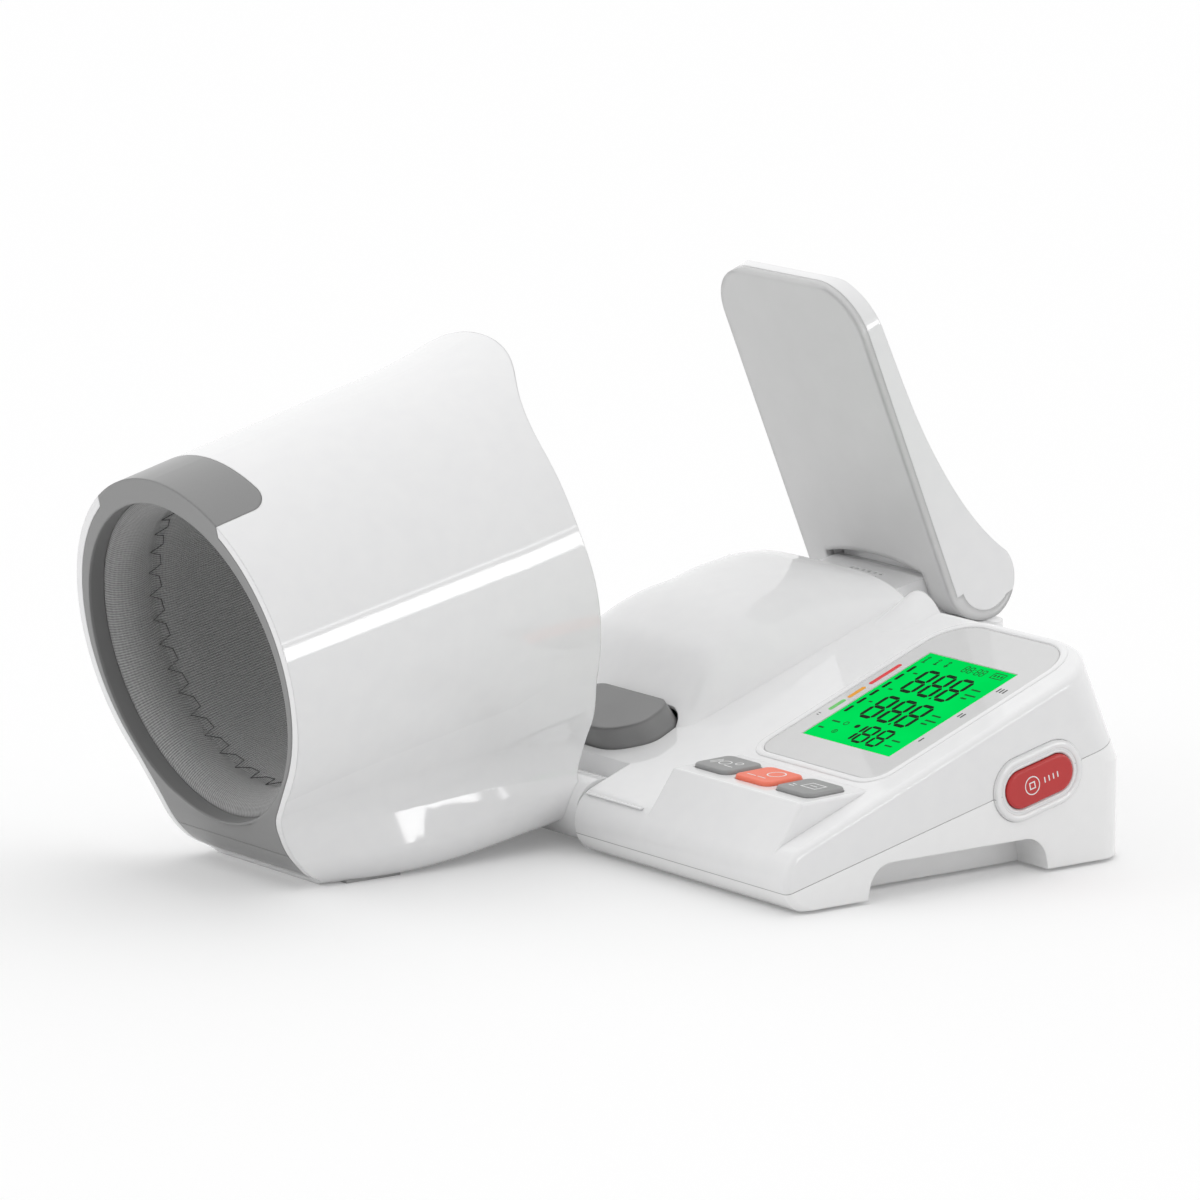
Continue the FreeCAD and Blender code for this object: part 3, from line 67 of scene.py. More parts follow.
deck = face_frame((0, 0, 26.056), Matrix.Rotation(deck_slope, 4, "X"))
shelf = face_frame((0, 27.5, 42.94), Matrix.Rotation(shelf_slope, 4, "X"))
tunnel = face_frame((0, -169.3, 92.3), Matrix.Rotation(drum_lean, 4, "X"))
# A third of a turn about the diagonal stands the stop key's own axes on the right wall.
stop_wall = face_frame((205, 127.3, 39.1), Matrix.Rotation(parting_slope, 4, "X")
                       @ Matrix.Rotation(math.radians(120), 4, Vector((1, 1, 1)).normalized()))


# --- Materials -----------------------------------------------------------------------------------
def linear(colour):
    """Linear colour of an sRGB hex value."""
    parts = [int(colour[i:i + 2], 16) / 255 for i in (1, 3, 5)]
    return [p / 12.92 if p <= 0.04045 else ((p + 0.055) / 1.055) ** 2.4 for p in parts] + [1.0]


def add(tree, kind, settings=None, **links):
    """Add a node with its settings; a link's value is an output socket or a plain value."""
    made = tree.nodes.new(kind)
    for name, value in (settings or {}).items():
        setattr(made, name, value)
    for name, value in links.items():
        key = int(name[1:]) if name[0] == "i" and name[1:].isdigit() else name.replace("_", " ")
        if isinstance(value, bpy.types.NodeSocket):
            tree.links.new(value, made.inputs[key])
        else:
            made.inputs[key].default_value = value
    return made


def start(name, colour, roughness, ior=1.5, metallic=0.0):
    """New material with a Principled shader; gives the material, its tree and the shader."""
    made = bpy.data.materials.new(name)
    made.use_nodes = True
    tree = made.node_tree
    skin = tree.nodes["Principled BSDF"]
    skin.inputs["Base Color"].default_value = linear(colour)
    skin.inputs["Roughness"].default_value = roughness
    skin.inputs["IOR"].default_value = ior
    skin.inputs["Metallic"].default_value = metallic
    return made, tree, skin


def grain(tree, skin, size_mm, depth_mm, strength, edge_mm=0.0):
    """Fine relief with grains of a real size, over edges that are eased by a real radius."""
    place = add(tree, "ShaderNodeTexCoord")
    noise = add(tree, "ShaderNodeTexNoise", Vector=place.outputs["Object"],
                Scale=1 / (size_mm * MM), Detail=2.0)
    bump = add(tree, "ShaderNodeBump", Height=noise.outputs[0], Distance=depth_mm * MM,
               Strength=strength)
    if edge_mm:
        eased = add(tree, "ShaderNodeBevel", {"samples": 4}, Radius=edge_mm * MM)
        tree.links.new(eased.outputs[0], bump.inputs["Normal"])
    tree.links.new(bump.outputs[0], skin.inputs["Normal"])
    return place, noise


def tint(tree, skin, noise, low, high, socket="Base Color"):
    """Let a colour drift between two shades with a noise."""
    mix = add(tree, "ShaderNodeMix", {"data_type": "RGBA"}, Factor=noise.outputs[0],
              i6=linear(low), i7=linear(high))
    tree.links.new(mix.outputs[2], skin.inputs[socket])
    return mix


def shade_over(tree, skin, under, cover, colour):
    """Lay a further shade over a colour, as far as a mask covers it."""
    mix = add(tree, "ShaderNodeMix", {"data_type": "RGBA"}, Factor=cover.outputs[0],
              i6=under.outputs[2], i7=linear(colour))
    tree.links.new(mix.outputs[2], skin.inputs["Base Color"])


def in_tunnel(tree, place):
    """The tunnel's own coordinates: y runs in from its mouth, and x and z lie across it."""
    return add(tree, "ShaderNodeMapping", {"vector_type": "TEXTURE"},
               Vector=place.outputs["Object"], Location=tunnel.to_translation(),
               Rotation=(drum_lean, 0.0, 0.0))


# Of a spark-eroded tool: grain and depth in millimetres, and strength.
spark_texture = (0.45, 0.02, 0.35)


def gloss_abs(name, low, high, seam=False):
    """ABS moulded in a mirror-polished tool: crisp reflections with a faint long ripple."""
    made, tree, skin = start(name, high, 0.05, 1.6)
    place, noise = grain(tree, skin, 9.0, 0.012, 0.5, edge_mm=0.9)
    mix = tint(tree, skin, noise, low, high)
    if seam:
        # A hairline where the two shells meet, drawn by the height above their parting line.
        split = add(tree, "ShaderNodeSeparateXYZ", Vector=place.outputs["Object"])
        lean = math.tan(parting_slope)
        level = arm_line.z + parting_height - lean * arm_line.y
        along = add(tree, "ShaderNodeMath", {"operation": "MULTIPLY_ADD"}, i0=split.outputs[1],
                    i1=-lean, i2=split.outputs[2])
        off = add(tree, "ShaderNodeMath", {"operation": "SUBTRACT"}, i0=along.outputs[0], i1=level)
        far = add(tree, "ShaderNodeMath", {"operation": "ABSOLUTE"}, i0=off.outputs[0])
        line = add(tree, "ShaderNodeMapRange", {"interpolation_type": "SMOOTHSTEP"},
                   i0=far.outputs[0], i1=0.08 * MM, i2=0.24 * MM, i3=1.0, i4=0.0)
        shade_over(tree, skin, mix, line, "#b4b4b4")
    return made


def satin(name, low, high, roughness, edge_mm=0.7):
    """Satin plastic, rubber or thread: a soft sheen over a texture of about half a millimetre."""
    made, tree, skin = start(name, high, roughness)
    drift_mm = 16.667
    place = grain(tree, skin, *spark_texture, edge_mm=edge_mm)[0]
    drift = add(tree, "ShaderNodeTexNoise", Vector=place.outputs["Object"],
                Scale=1 / (drift_mm * MM), Detail=3.0)
    tint(tree, skin, drift, low, high)
    return made


def mouth_abs():
    """Satin grey ABS, with painted shade on its throat, the wall of the bore, which is drawn darker
    than its face.
    """
    bore_mm = 71.5
    made, tree, skin = start("satin_grey_mouth_abs", "#868686", 0.28)
    place, noise = grain(tree, skin, *spark_texture, edge_mm=1.5)
    mix = tint(tree, skin, noise, "#888888", "#909090")
    own = in_tunnel(tree, place)
    flat = add(tree, "ShaderNodeVectorMath", {"operation": "MULTIPLY"}, i0=own.outputs[0],
               i1=(1.0, 0.0, 1.0))
    reach = add(tree, "ShaderNodeVectorMath", {"operation": "LENGTH"}, i0=flat.outputs[0])
    # Painted shade: the bore's wall turns darker a millimetre behind the face, where the recess lies in
    # shade.
    inside = add(tree, "ShaderNodeMapRange", i0=reach.outputs["Value"],
                 i1=(bore_mm + 0.1) * MM, i2=(bore_mm + 0.4) * MM, i3=1.0, i4=0.0)
    split = add(tree, "ShaderNodeSeparateXYZ", Vector=own.outputs[0])
    deep = add(tree, "ShaderNodeMapRange", i0=split.outputs[1], i1=0.9 * MM, i2=1.5 * MM,
               i3=0.0, i4=1.0)
    both = add(tree, "ShaderNodeMath", {"operation": "MULTIPLY"}, i0=inside.outputs[0],
               i1=deep.outputs[0])
    # The throat's painted shade, laid over the face's grey.
    shade_over(tree, skin, mix, both, "#828282")
    return made


def plated_metal(name, colour, roughness):
    """Plated metal: bright, with a coat that is slightly uneven over half a millimetre or so."""
    made, tree, skin = start(name, colour, roughness, metallic=1.0)
    grain(tree, skin, 0.6, 0.01, 0.4)
    return made


def knitted_cloth():
    """Ribbed polyester knit: ribs along the tunnel, crossed by loops, coarse enough to show."""
    rib_count = 360         # 1.1 mm apart on the cloth's face
    rib_depth_mm = 0.16
    loop_mm = 1.3
    loop_share = 0.22       # a loop's height beside a rib's
    fuzz_mm = 1.111
    made, tree, skin = start("ribbed_knit_cloth", "#7e7e7e", 0.82, 1.45)
    skin.inputs["Sheen Weight"].default_value = 0.35
    skin.inputs["Sheen Roughness"].default_value = 0.5
    skin.inputs["Specular IOR Level"].default_value = 0.25
    place = add(tree, "ShaderNodeTexCoord")
    own = in_tunnel(tree, place)
    split = add(tree, "ShaderNodeSeparateXYZ", Vector=own.outputs[0])
    angle = add(tree, "ShaderNodeMath", {"operation": "ARCTAN2"}, i0=split.outputs[0],
                i1=split.outputs[2])
    turns = add(tree, "ShaderNodeMath", {"operation": "MULTIPLY"}, i0=angle.outputs[0],
                i1=rib_count)
    rib = add(tree, "ShaderNodeMath", {"operation": "SINE"}, i0=turns.outputs[0])
    rows = add(tree, "ShaderNodeMath", {"operation": "MULTIPLY"}, i0=split.outputs[1],
               i1=2 * math.pi / (loop_mm * MM))
    loop = add(tree, "ShaderNodeMath", {"operation": "SINE"}, i0=rows.outputs[0])
    height = add(tree, "ShaderNodeMath", {"operation": "MULTIPLY_ADD"}, i0=loop.outputs[0],
                 i1=loop_share, i2=rib.outputs[0])
    bump = add(tree, "ShaderNodeBump", Height=height.outputs[0], Distance=rib_depth_mm * MM,
               Strength=0.9)
    tree.links.new(bump.outputs[0], skin.inputs["Normal"])
    fuzz = add(tree, "ShaderNodeTexNoise", Vector=place.outputs["Object"],
               Scale=1 / (fuzz_mm * MM), Detail=3.0)
    soft = add(tree, "ShaderNodeMath", {"operation": "MULTIPLY_ADD"}, i0=fuzz.outputs[0], i1=0.5,
               i2=0.25)
    # Partly painted shade: the ribs' valleys are drawn darker and their crests lighter, over a random
    # fuzz of tone that is the yarn's own.
    rib_shade_and_fuzz = add(tree, "ShaderNodeMath", {"operation": "MULTIPLY_ADD"}, i0=height.outputs[0],
                 i1=0.3, i2=soft.outputs[0])
    tint(tree, skin, rib_shade_and_fuzz, "#787878", "#c0c0c0")
    return made


def lit_glass():
    """LCD with its backlight on: almost even green light, behind a film that mirrors nothing."""
    made, tree, skin = start("backlit_lcd", "#003c18", 0.3)
    skin.inputs["Specular IOR Level"].default_value = 0.0
    noise = grain(tree, skin, 20.0, 0.004, 0.3)[1]
    tint(tree, skin, noise, "#00cc4e", "#00e45e", "Emission Color")
    skin.inputs["Emission Strength"].default_value = 1.0
    return made


def flat_ink(name, colour, specular=0.5):
    """Screen-printed ink: thin and even, with slightly ragged gloss."""
    made, tree, skin = start(name, colour, 0.5)
    skin.inputs["Specular IOR Level"].default_value = specular
    grain(tree, skin, 0.5, 0.004, 0.3)
    return made


white = gloss_abs("polished_white_abs", "#f0f0f1", "#f5f5f5")
white_base = gloss_abs("polished_white_abs_with_parting_line", "#f0f0f1", "#f5f5f5", seam=True)
# Painted light: the lower shell and the battery door wear a lighter copy of the polished white,
# standing in for the brighter light that falls on the lower walls.
painted_lit_white_low = gloss_abs("painted_light_polished_white_abs", "#f8f8f8", "#fcfcfc", seam=True)
white_lid = satin("satin_white_abs", "#d2d2d2", "#d8d8d8", 0.24, edge_mm=4.5)
window_print = gloss_abs("printed_window_acrylic", "#d6d6d6", "#dadada")
grey = mouth_abs()
pad_grey = satin("satin_grey_pad_abs", "#808080", "#888888", 0.4, edge_mm=3.0)
key_grey = satin("moulded_grey_key_rubber", "#959595", "#9d9d9d", 0.42, edge_mm=1.0)
coral = satin("moulded_coral_key_rubber", "#f97a60", "#ff866c", 0.45, edge_mm=0.8)
red = satin("gloss_red_abs", "#c02c2c", "#c83232", 0.2, edge_mm=0.8)
cloth = knitted_cloth()
lcd = lit_glass()
black_ink = flat_ink("lcd_segment_black", "#04280f", specular=0.05)
faint_ink = flat_ink("lcd_small_mark_green", "#066a2c", specular=0.05)
white_ink = flat_ink("white_screen_ink", "#f2f2f2")
grey_ink = flat_ink("grey_screen_ink", "#444444")
red_ink = flat_ink("red_screen_ink", "#e8383e")
amber_ink = flat_ink("amber_screen_ink", "#f2a412")
green_ink = flat_ink("green_screen_ink", "#6fd26c")
thread = satin("dark_polyester_thread", "#484848", "#585858", 0.7, edge_mm=0)
black = satin("moulded_black_abs", "#1c1c1c", "#262626", 0.5)
soft_rubber = satin("moulded_dark_rubber", "#262626", "#303030", 0.75)
pale_rubber = satin("moulded_pale_rubber", "#b2b2b2", "#bababa", 0.7)
liner_grey = satin("dull_grey_liner_abs", "#585858", "#606060", 0.6)
milky = satin("milky_diffuser_acrylic", "#e6efe6", "#eef5ee", 0.35)
board = satin("green_solder_mask", "#0e5228", "#146233", 0.3)
natural = satin("natural_nylon", "#cfccc2", "#dad7ce", 0.45)
steel = plated_metal("zinc_plated_steel", "#b4b6ba", 0.32)
brass = plated_metal("nickel_plated_brass", "#c9c4b4", 0.28)
cell_wrap = satin("printed_cell_wrap", "#33373d", "#3d424a", 0.25)

finishes = {
    white_base: "base_upper_shell stop_bezel",
    painted_lit_white_low: "base_lower_shell battery_door",
    white: "drum_shell drum_rear_ring lid_outer_shell",
    white_lid: "lid_inner_plate",
    window_print: "display_panel",
    grey: "mouth_ring drum_chin",
    liner_grey: "drum_liner",
    pale_rubber: "drum_foot_pads",
    pad_grey: "elbow_pad",
    key_grey: "memory_button set_button",
    coral: "start_button",
    red: "stop_button",
    lcd: "lcd_glass",
    milky: "lcd_backlight",
    black: "display_frame battery_tray key_pcb_posts stop_pcb_brackets "
           "elbow_switch_bracket valve_bracket speaker_cradle key_switches stop_switch "
           "elbow_switch air_pump pressure_sensor control_chips speaker",
    board: "main_pcb key_pcb stop_pcb",
    soft_rubber: "cuff_air_port air_hose rubber_feet",
    natural: "air_tee",
    steel: "pcb_screws drum_hinge_pins lid_hinge_pins case_screws pump_motor release_valve "
           "power_socket",
    brass: "battery_contacts",
    cell_wrap: "battery_cells",
    cloth: "cuff_fabric air_bladder",
}
for finish, names in finishes.items():
    for name in names.split():
        mesh = nodes[name].data
        mesh.materials.clear()
        mesh.materials.append(finish)


# --- Making pieces -------------------------------------------------------------------------------
def settle(piece, name, material, body, matrix=None, smooth=35):
    """Name a finished piece, put its place in its mesh, and let it ride on its body."""
    if piece.type != "MESH":
        bpy.ops.object.select_all(action="DESELECT")
        piece.select_set(True)
        bpy.context.view_layer.objects.active = piece
        bpy.ops.object.convert(target="MESH")
        piece = bpy.context.view_layer.objects.active
    piece.name = name
    piece.data.transform((matrix or Matrix.Identity(4)) @ piece.matrix_basis)
    piece.matrix_basis = Matrix.Identity(4)
    piece.data.materials.clear()
    piece.data.materials.append(material)
    for polygon in piece.data.polygons:
        polygon.material_index = 0
    bpy.ops.object.select_all(action="DESELECT")
    piece.select_set(True)
    bpy.context.view_layer.objects.active = piece
    bpy.ops.object.shade_smooth_by_angle(angle=math.radians(smooth))
    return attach(piece, body)


def ink(name, outlines, lift, thick, material, body, matrix):
    """Printed mark: closed outlines in a face's millimetres, filled, and as thick as ink."""
    flat = bpy.data.curves.new(name, "CURVE")
    flat.dimensions = "2D"
    flat.fill_mode = "BOTH"
    flat.extrude = thick / 2
    for outline in outlines:
        line = flat.splines.new("POLY")
        line.points.add(len(outline) - 1)
        for point, (x, y) in zip(line.points, outline):
            point.co = (x, y, 0.0, 1.0)
        line.use_cyclic_u = True
    made = bpy.data.objects.new(name, flat)
    bpy.context.scene.collection.objects.link(made)
    return settle(made, name, material, body,
                  matrix @ Matrix.Translation((0, 0, lift + thick / 2)))


def tube(name, runs, radius, material, body, matrix, closed=False, flatten=1.0, lift=0.0):
    """Round bead or thread along runs of points."""
    line = bpy.data.curves.new(name, "CURVE")
    line.dimensions = "3D"
    line.bevel_depth = radius
    line.bevel_resolution = 3
    line.use_fill_caps = True
    for run in runs:
        part = line.splines.new("POLY")
        part.points.add(len(run) - 1)
        for point, place in zip(part.points, run):
            point.co = (*place, 1.0)
        part.use_cyclic_u = closed
    made = bpy.data.objects.new(name, line)
    bpy.context.scene.collection.objects.link(made)
    return settle(made, name, material, body,
                  matrix @ Matrix.Translation((0, 0, lift)) @ Matrix.Diagonal((1, 1, flatten, 1)))


def ring(x, y, radius, width, count=40):
    """Two circles that leave a ring between them."""
    turns = [2 * math.pi * i / count for i in range(count)]
    return [[(x + r * math.cos(t), y + r * math.sin(t)) for t in turns]
            for r in (radius, radius - width)]


def bar(x0, y0, x1, y1, width):
    """Bar with clipped corners between two points."""
    along = Vector((x1 - x0, y1 - y0)).normalized()
    side = Vector((-along.y, along.x)) * width / 2
    tip = along * width / 4
    ends = (Vector((x0, y0)), Vector((x1, y1)))
    points = [ends[0] + side + tip, ends[0] + side * 0.4, ends[0] - side * 0.4,
              ends[0] - side + tip, ends[1] - side - tip, ends[1] - side * 0.4,
              ends[1] + side * 0.4, ends[1] + side - tip]
    return [tuple(point) for point in points]


def frame_bars(x0, y0, x1, y1, width):
    """Thin rectangle drawn as two outlines."""
    return [[(x0, y0), (x1, y0), (x1, y1), (x0, y1)],
            [(x0 + width, y0 + width), (x1 - width, y0 + width), (x1 - width, y1 - width),
             (x0 + width, y1 - width)]]


def loop(x0, x1, y0, y1, radii, count=10):
    """Closed rounded rectangle with a radius for each corner, front left first."""
    centres = ((x0, y0, 1, 1, 180), (x1, y0, -1, 1, 270), (x1, y1, -1, -1, 0), (x0, y1, 1, -1, 90))
    points = []
    for (x, y, sx, sy, first), r in zip(centres, radii):
        for i in range(count + 1):
            t = math.radians(first + 90 * i / count)
            points.append((x + sx * r + r * math.cos(t), y + sy * r + r * math.sin(t)))
    return points


# --- Display: digits, ticks and printed bars -----------------------------------------------------
# Places on the deck are in millimetres: x across it, and y or u up its slope.
def segment(x0, y0, x1, y1, width):
    """Six-sided segment of a digit, with pointed ends."""
    along = Vector((x1 - x0, y1 - y0)).normalized()
    side = Vector((-along.y, along.x)) * width / 2
    a = Vector((x0, y0)) + along * width * 0.12
    b = Vector((x1, y1)) - along * width * 0.12
    inner = along * width / 2
    return [tuple(p) for p in (a, a + inner + side, b - inner + side, b, b - inner - side,
                               a + inner - side)]


def digit(x, y, wide, tall, width, lit="abcdefg"):
    """Seven-segment digit with its lower left corner at x, y."""
    middle = y + tall / 2
    places = {"a": (x, y + tall, x + wide, y + tall), "d": (x, y, x + wide, y),
              "g": (x, middle, x + wide, middle), "f": (x, middle, x, y + tall),
              "b": (x + wide, middle, x + wide, y + tall), "e": (x, y, x, middle),
              "c": (x + wide, y, x + wide, middle)}
    return [segment(*places[name], width) for name in lit]


ink_thick = 0.06
fine_ink_thick = 0.05
glass_top = -0.3                    # below the deck
tall_digit = (7.5, 17.4, 2.15)      # width, height and stroke
low_digit = (6.2, 12.6, 1.7)
clock_digit = (2.1, 4.6, 0.55)
lowest_row = 77.8
scale_x = 112.4                     # coloured bars, left of the screen
ladder_x = 120.6                    # the six dashes beside the tall digits
row_tick_x = 179.6

large = []
for row in (119.2, 95.6):
    for x in (130.9, 142.5, 154.1):
        large += digit(x, row, *tall_digit)
    large.append(bar(151.6, row - 0.6, 152.8, row - 0.6, 1.5))
for x in (146.0, 155.6):
    large += digit(x, lowest_row, *low_digit)
large += digit(137.4, lowest_row, *low_digit, "bc")
for u in (132.3, 125.1, 117.7, 110.3, 102.9, 95.5):
    large.append(bar(ladder_x, u, ladder_x, u + 5.4, 1.9))
# The dot has nine points, 0.7 radians apart.
large.append([(138.4 + 1.5 * math.cos(0.7 * i), 88.0 + 1.5 * math.sin(0.7 * i)) for i in range(9)])
ink("lcd_digits", large, glass_top, ink_thick, black_ink, "base", deck)

# Small marks: three bulbs, a clock, a battery, dashes from one x to another, and two rings.
dashes = ((165.4, 131.6, 171.4), (165.8, 127.2, 173.0), (166.2, 124.4, 170.0),
          (166.0, 108.0, 171.8), (166.2, 103.8, 173.2), (166.4, 101.0, 170.4),
          (165.6, 85.0, 171.0), (165.8, 80.6, 170.6), (121.6, 87.6, 127.0),
          (119.4, 81.4, 123.0), (124.6, 132.6, 127.4), (124.4, 118.0, 127.2),
          (124.6, 106.4, 127.0))
small = []
for i, x in enumerate((119.6, 127.0, 133.8)):
    small += ring(x + 1.2, 145.6, 0.9, 0.5, 16)
    small.append(bar(x + 1.2, 141.6, x + 1.2, 144.4, 1.0))
    small.append(bar(x, 141.4 + 0.7 * i, x + 2.4, 141.4 + 0.7 * i, 0.6))
for x in (146.2, 149.6, 154.6, 158.0):
    small += digit(x, 141.8, *clock_digit)
small += [bar(152.8, 143.0, 153.4, 143.0, 0.7), bar(152.8, 145.0, 153.4, 145.0, 0.7)]
small += frame_bars(164.6, 142.4, 172.6, 147.0, 0.5)
small += [bar(x, 143.8, x, 145.6, 1.1) for x in (166.4, 168.6, 170.8)]
small += [bar(x0, u, x1, u, 1.1) for x0, u, x1 in dashes]
small += ring(130.8, 88.0, 1.5, 0.45, 20)
small += ring(131.0, 81.0, 1.5, 0.45, 20)
small.append(bar(131.0, 80.2, 131.0, 81.8, 0.5))
ink("lcd_small_marks", small, glass_top, fine_ink_thick, faint_ink, "base", deck)

for name, u0, u1, material in (("scale_red", 117.4, 136.0, red_ink),
                               ("scale_amber", 104.8, 114.8, amber_ink),
                               ("scale_green", 93.6, 103.0, green_ink)):
    ink(name, [bar(scale_x, u0, scale_x, u1, 2.5)], 0.0, ink_thick, material, "base", deck)
row_ticks = [bar(row_tick_x + 2.0 * i, u - 1.7, row_tick_x + 2.0 * i, u + 1.7, 0.8)
             for u, count in ((135.4, 3), (112.6, 2), (90.1, 1)) for i in range(count)]
row_ticks += [bar(109.6, u, 111.0, u, 0.45) for u in (88.6, 90.0)]
ink("scale_row_ticks", row_ticks, 0.0, ink_thick, grey_ink, "base", deck)


# --- Raised beads round the window, round the stop key and along the deck's front ----------------
def pill_run(half, radius, count=24):
    """Points round a pill: two half circles with straight runs between them."""
    turns = [math.pi * i / count for i in range(count + 1)]
    right = [(half + radius * math.sin(t), radius * math.cos(t), 0.0) for t in turns]
    return right + [(-x, -y, z) for x, y, z in right]


window_edge = [(x, y, 0.0) for x, y in loop(104.9, 189.9, 53.5, 176.5, (11.1, 11.1, 21.1, 21.1))]
tube("window_bead", [window_edge], 1.9, white, "base", deck, closed=True, flatten=0.42,
     lift=-0.1)
stop_half_straight = 10.1       # of the stop key's sides
bezel_top = 0.95
tube("stop_bezel_bead", [pill_run(stop_half_straight, 12.4)], 1.5, white, "base", stop_wall,
     closed=True, flatten=0.6, lift=bezel_top)
tube("stop_bezel_lip", [pill_run(stop_half_straight, 9.6)], 0.7, white, "base", stop_wall,
     closed=True, flatten=0.7, lift=bezel_top)
tube("deck_front_bead", [[(58.6, -3.0, 0.0), (98.6, -3.0, 0.0)]], 0.9, white, "base", deck,
     flatten=0.4)


# --- Marks on the keys ---------------------------------------------------------------------------
key_top = 1.8           # above the shelf
stop_key_top = 2.4      # above the right wall's face
memory_x, start_x, set_x = 119.2, 147.4, 175.6
memory_marks = (ring(memory_x - 1.4, -0.4, 3.1, 0.55, 28) + ring(memory_x + 4.6, 2.6, 2.0, 0.5, 22)
                + [bar(memory_x + 1.8, -3.6, memory_x + 7.4, -3.6, 0.6),
                   bar(memory_x - 8.4, -3.4, memory_x - 6.8, 3.0, 0.6),
                   bar(memory_x - 6.6, -4.6, memory_x - 5.2, 1.6, 0.6)])
ink("memory_key_marks", memory_marks, key_top, fine_ink_thick, white_ink, "memory_key", shelf)
start_marks = ring(start_x + 2.4, 2.4, 4.3, 0.6, 32) + [
    bar(start_x - 8.0, -5.4, start_x - 2.0, -5.4, 0.55),
    bar(start_x - 0.8, -5.4, start_x + 4.6, -5.4, 0.55)]
ink("start_key_marks", start_marks, key_top, fine_ink_thick, white_ink, "start_key", shelf)
set_marks = frame_bars(set_x - 3.4, -2.6, set_x + 6.4, 4.4, 0.55) + [
    bar(set_x - 8.6, -4.6, set_x - 5.0, -4.6, 0.6),
    bar(set_x - 8.6, -2.4, set_x - 5.8, -2.4, 0.6),
    bar(set_x - 0.8, 0.9, set_x + 3.8, 0.9, 0.6)]
ink("set_key_marks", set_marks, key_top, fine_ink_thick, white_ink, "set_key", shelf)
stop_marks = ring(-4.8, 0.0, 4.1, 0.45, 40) + frame_bars(-6.4, -1.6, -3.2, 1.6, 0.5) + [
    bar(x, -1.3, x, 1.3, 0.6) for x in (2.2, 4.6, 7.0, 9.4)]
ink("stop_key_marks", stop_marks, stop_key_top, fine_ink_thick, white_ink, "stop_key", stop_wall)


# --- Cuff: padded knit sleeve with a roll at each end --------------------------------------------
sleeve_ends = 155.0         # depth of the front end plus depth of the back end
sleeve_outside = 72.05      # radius against the liner


def cuff_line():
    """Half section of the sleeve, as (depth, radius): front roll, stitched channel, wall, back roll."""
    front = [(8.4, 72.0), (7.9, 71.45), (7.85, 70.8), (8.2, 69.5), (9.1, 68.0), (10.7, 66.4),
             (12.9, 65.0), (15.5, 63.8), (18.4, 63.15), (21.4, 63.1), (24.2, 63.7), (26.6, 64.7),
             (28.4, 65.7), (29.5, 66.0), (30.6, 65.7), (32.6, 64.8), (35.5, 63.8), (40.0, 63.2)]
    wall_line = [(40.0 + 5.0 * i, 63.15 + 0.25 * math.sin(i * 0.9)) for i in range(1, 15)]
    back = [(sleeve_ends - s, r) for s, r in reversed(front)]
    return front + wall_line + back


def make_cuff():
    """Spin the half section round the tunnel's axis into a closed sleeve."""
    section = cuff_line()
    mesh = bpy.data.meshes.new("cuff_sleeve")
    made = bpy.data.objects.new("cuff_sleeve", mesh)
    bpy.context.scene.collection.objects.link(made)
    closed = section + [(section[-1][0], sleeve_outside), (section[0][0], sleeve_outside)]
    mesh.from_pydata([(0.0, s, r) for s, r in closed],
                     [(i, (i + 1) % len(closed)) for i in range(len(closed))], [])
    bpy.ops.object.select_all(action="DESELECT")
    bpy.context.view_layer.objects.active = made
    made.select_set(True)
    bpy.ops.object.mode_set(mode="EDIT")
    bpy.ops.mesh.select_all(action="SELECT")
    bpy.ops.mesh.spin(steps=160, angle=2 * math.pi, center=(0, 0, 0), axis=(0, 1, 0))
    bpy.ops.mesh.select_all(action="SELECT")
    bpy.ops.mesh.remove_doubles(threshold=0.001)
    bpy.ops.mesh.normals_make_consistent(inside=False)
    bpy.ops.object.mode_set(mode="OBJECT")
    return settle(made, "cuff_sleeve", cloth, "drum", tunnel, smooth=60)


cuff = make_cuff()
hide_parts("cuff_fabric", "air_bladder")

# Each stitch crosses the channel, runs a little way along it, and comes back.
stitch_count = 36
thread_radius = 0.19
stitches = []
for i in range(stitch_count):
    for part, depth, radius in ((0.0, 26.4, 64.5), (0.2, 32.8, 64.6), (0.66, 32.2, 64.8)):
        turn = 2 * math.pi * (i + part) / stitch_count
        stitches.append((radius * math.sin(turn), depth, radius * math.cos(turn)))
tube("cuff_zigzag_stitch", [stitches], thread_radius, thread, "drum", tunnel,
     closed=True)


# --- Floor, light and camera ---------------------------------------------------------------------
def straight_rays(tree):
    """One for rays from the camera, off polish or through glass, and one for polish alone."""
    path = add(tree, "ShaderNodeLightPath")
    seen = path.outputs["Is Camera Ray"]
    for kind in ("Is Glossy Ray", "Is Transmission Ray"):
        seen = add(tree, "ShaderNodeMath", {"operation": "ADD", "use_clamp": True}, i0=seen,
                   i1=path.outputs[kind]).outputs[0]
    return seen, path.outputs["Is Glossy Ray"]


def make_floor():
    """Pale floor that keeps the object's shadow and turns white where nothing shades it."""
    bpy.ops.mesh.primitive_plane_add(size=30.0, location=(0, 0, 0))
    floor = bpy.context.active_object
    floor.name = "studio_floor"
    made = bpy.data.materials.new("white_floor")
    made.use_nodes = True
    tree = made.node_tree
    tree.nodes.clear()
    seen = straight_rays(tree)[0]
    paint = add(tree, "ShaderNodeBsdfDiffuse", Color=(0.8, 0.8, 0.8, 1.0))
    glow = add(tree, "ShaderNodeEmission", Color=(1.0, 1.0, 1.0, 1.0))
    level = add(tree, "ShaderNodeMath", {"operation": "MULTIPLY"}, i0=seen, i1=floor_glow)
    tree.links.new(level.outputs[0], glow.inputs["Strength"])
    both = add(tree, "ShaderNodeAddShader", i0=paint.outputs[0], i1=glow.outputs[0])
    add(tree, "ShaderNodeOutputMaterial", Surface=both.outputs[0])
    floor.data.materials.append(made)


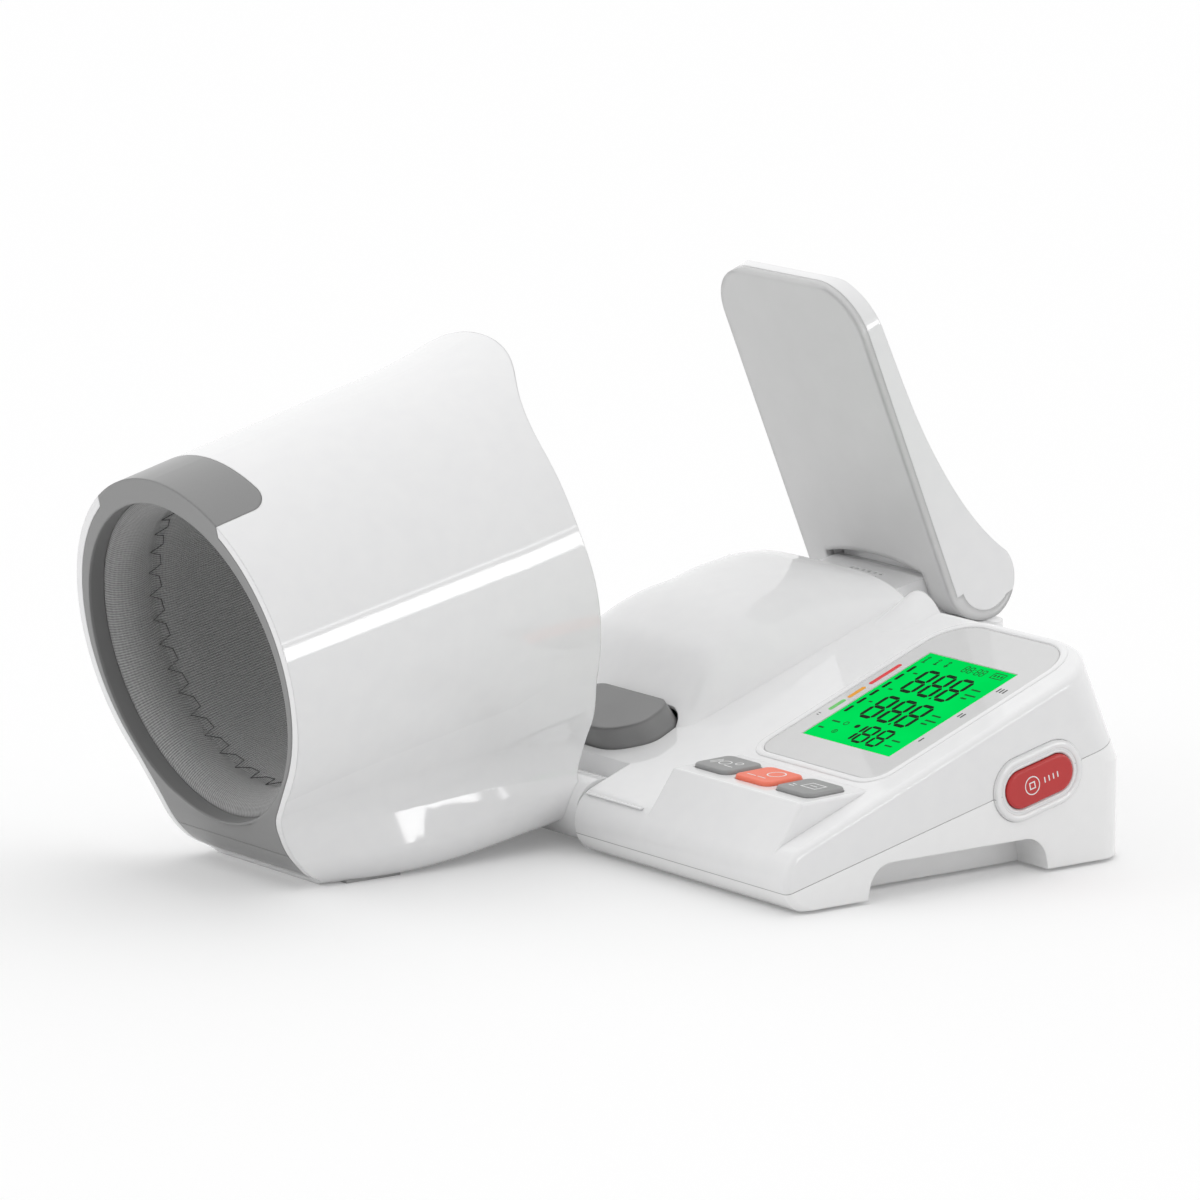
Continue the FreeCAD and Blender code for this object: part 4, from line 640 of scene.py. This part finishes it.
# Aim, cosine from the aim at which the box's light begins, and its strength.
softboxes = (
    ((0.0, 0.0, 1.0), 0.3, 0.61),
    ((-0.3, 0.65, 0.7), 0.6, 0.5),
    ((-0.87, -0.5, 0.2), 0.7, 0.9),
    ((-0.45, 0.87, 0.2), 0.7, 0.4),
    ((0.87, 0.5, 0.0), 0.6, 0.66),
    ((0.0, -1.0, 0.3), 0.6, 0.5),
)
box_full = 0.98             # cosine within which it is full
# Azimuth, half width, lowest and highest elevation, all in degrees, and strength.
panels = (
    (122.0, 13.0, 1.5, 8.5, 6.0),
    (122.0, 14.0, 11.0, 11.8, 4.0),
)
panel_blur = math.radians(5.0)
edge_blur = 0.006           # in the sine of the elevation
ambient = 0.36
floor_glow = 0.17


def make_world():
    """Studio: even light, large soft boxes, and narrow strips that polished faces mirror."""
    world = bpy.data.worlds.new("studio")
    bpy.context.scene.world = world
    world.use_nodes = True
    tree = world.node_tree
    tree.nodes.clear()
    way = add(tree, "ShaderNodeTexCoord").outputs["Generated"]
    split = add(tree, "ShaderNodeSeparateXYZ", Vector=way)
    total = ambient
    for aim, low, strength in softboxes:
        facing = add(tree, "ShaderNodeVectorMath", {"operation": "DOT_PRODUCT"}, i0=way,
                     i1=Vector(aim).normalized())
        glow = add(tree, "ShaderNodeMapRange", {"interpolation_type": "SMOOTHSTEP"},
                   i0=facing.outputs["Value"], i1=low, i2=box_full, i3=0.0, i4=strength)
        total = add(tree, "ShaderNodeMath", {"operation": "ADD"}, i0=total,
                    i1=glow.outputs[0]).outputs[0]
    seen, glossy = straight_rays(tree)
    strips = 1.0        # the white backdrop, to which polish adds the strips
    ahead = add(tree, "ShaderNodeMath", {"operation": "MULTIPLY"}, i0=split.outputs[1], i1=-1.0)
    azimuth = add(tree, "ShaderNodeMath", {"operation": "ARCTAN2"}, i0=split.outputs[0],
                  i1=ahead.outputs[0])
    for aim, half, low, high, strength in panels:
        off = add(tree, "ShaderNodeMath", {"operation": "SUBTRACT"}, i0=azimuth.outputs[0],
                  i1=math.radians(aim))
        off = add(tree, "ShaderNodeMath", {"operation": "ABSOLUTE"}, i0=off.outputs[0])
        slab = add(tree, "ShaderNodeMapRange", {"interpolation_type": "SMOOTHSTEP"},
                   i0=off.outputs[0], i1=math.radians(half),
                   i2=math.radians(half) + panel_blur, i3=strength, i4=0.0)
        for edge, way_in in ((low, 1), (high, -1)):
            level = math.sin(math.radians(edge))
            side = add(tree, "ShaderNodeMapRange", {"interpolation_type": "SMOOTHSTEP"},
                       i0=split.outputs[2], i1=level - edge_blur * way_in,
                       i2=level + edge_blur * way_in, i3=0.0, i4=1.0)
            slab = add(tree, "ShaderNodeMath", {"operation": "MULTIPLY"}, i0=slab.outputs[0],
                       i1=side.outputs[0])
        strips = add(tree, "ShaderNodeMath", {"operation": "MULTIPLY_ADD"}, i0=slab.outputs[0],
                     i1=glossy, i2=strips).outputs[0]
    white_light = (1.0, 1.0, 1.0, 1.0)
    studio = add(tree, "ShaderNodeBackground", Color=white_light, Strength=total)
    backdrop = add(tree, "ShaderNodeBackground", Color=white_light, Strength=strips)
    pick = add(tree, "ShaderNodeMixShader", i0=seen, i1=studio.outputs[0], i2=backdrop.outputs[0])
    add(tree, "ShaderNodeOutputWorld", Surface=pick.outputs[0])


make_floor()
make_world()
bpy.context.scene.view_settings.view_transform = "Standard"

view_azimuth = math.radians(53.34)
view_elevation = math.radians(11.13)
view_place = Vector((2.7290, -1.9831, 0.7636))      # metres from the case's drawing point
lens = bpy.data.cameras.new("camera")
lens.lens = 237.3
lens.sensor_width = 36.0
lens.clip_start = 0.1
lens.clip_end = 60.0
camera = bpy.data.objects.new("camera", lens)
bpy.context.scene.collection.objects.link(camera)
camera.location = arm_line + view_place
camera.rotation_euler = (math.pi / 2 - view_elevation, 0.0, view_azimuth)
bpy.context.scene.camera = camera
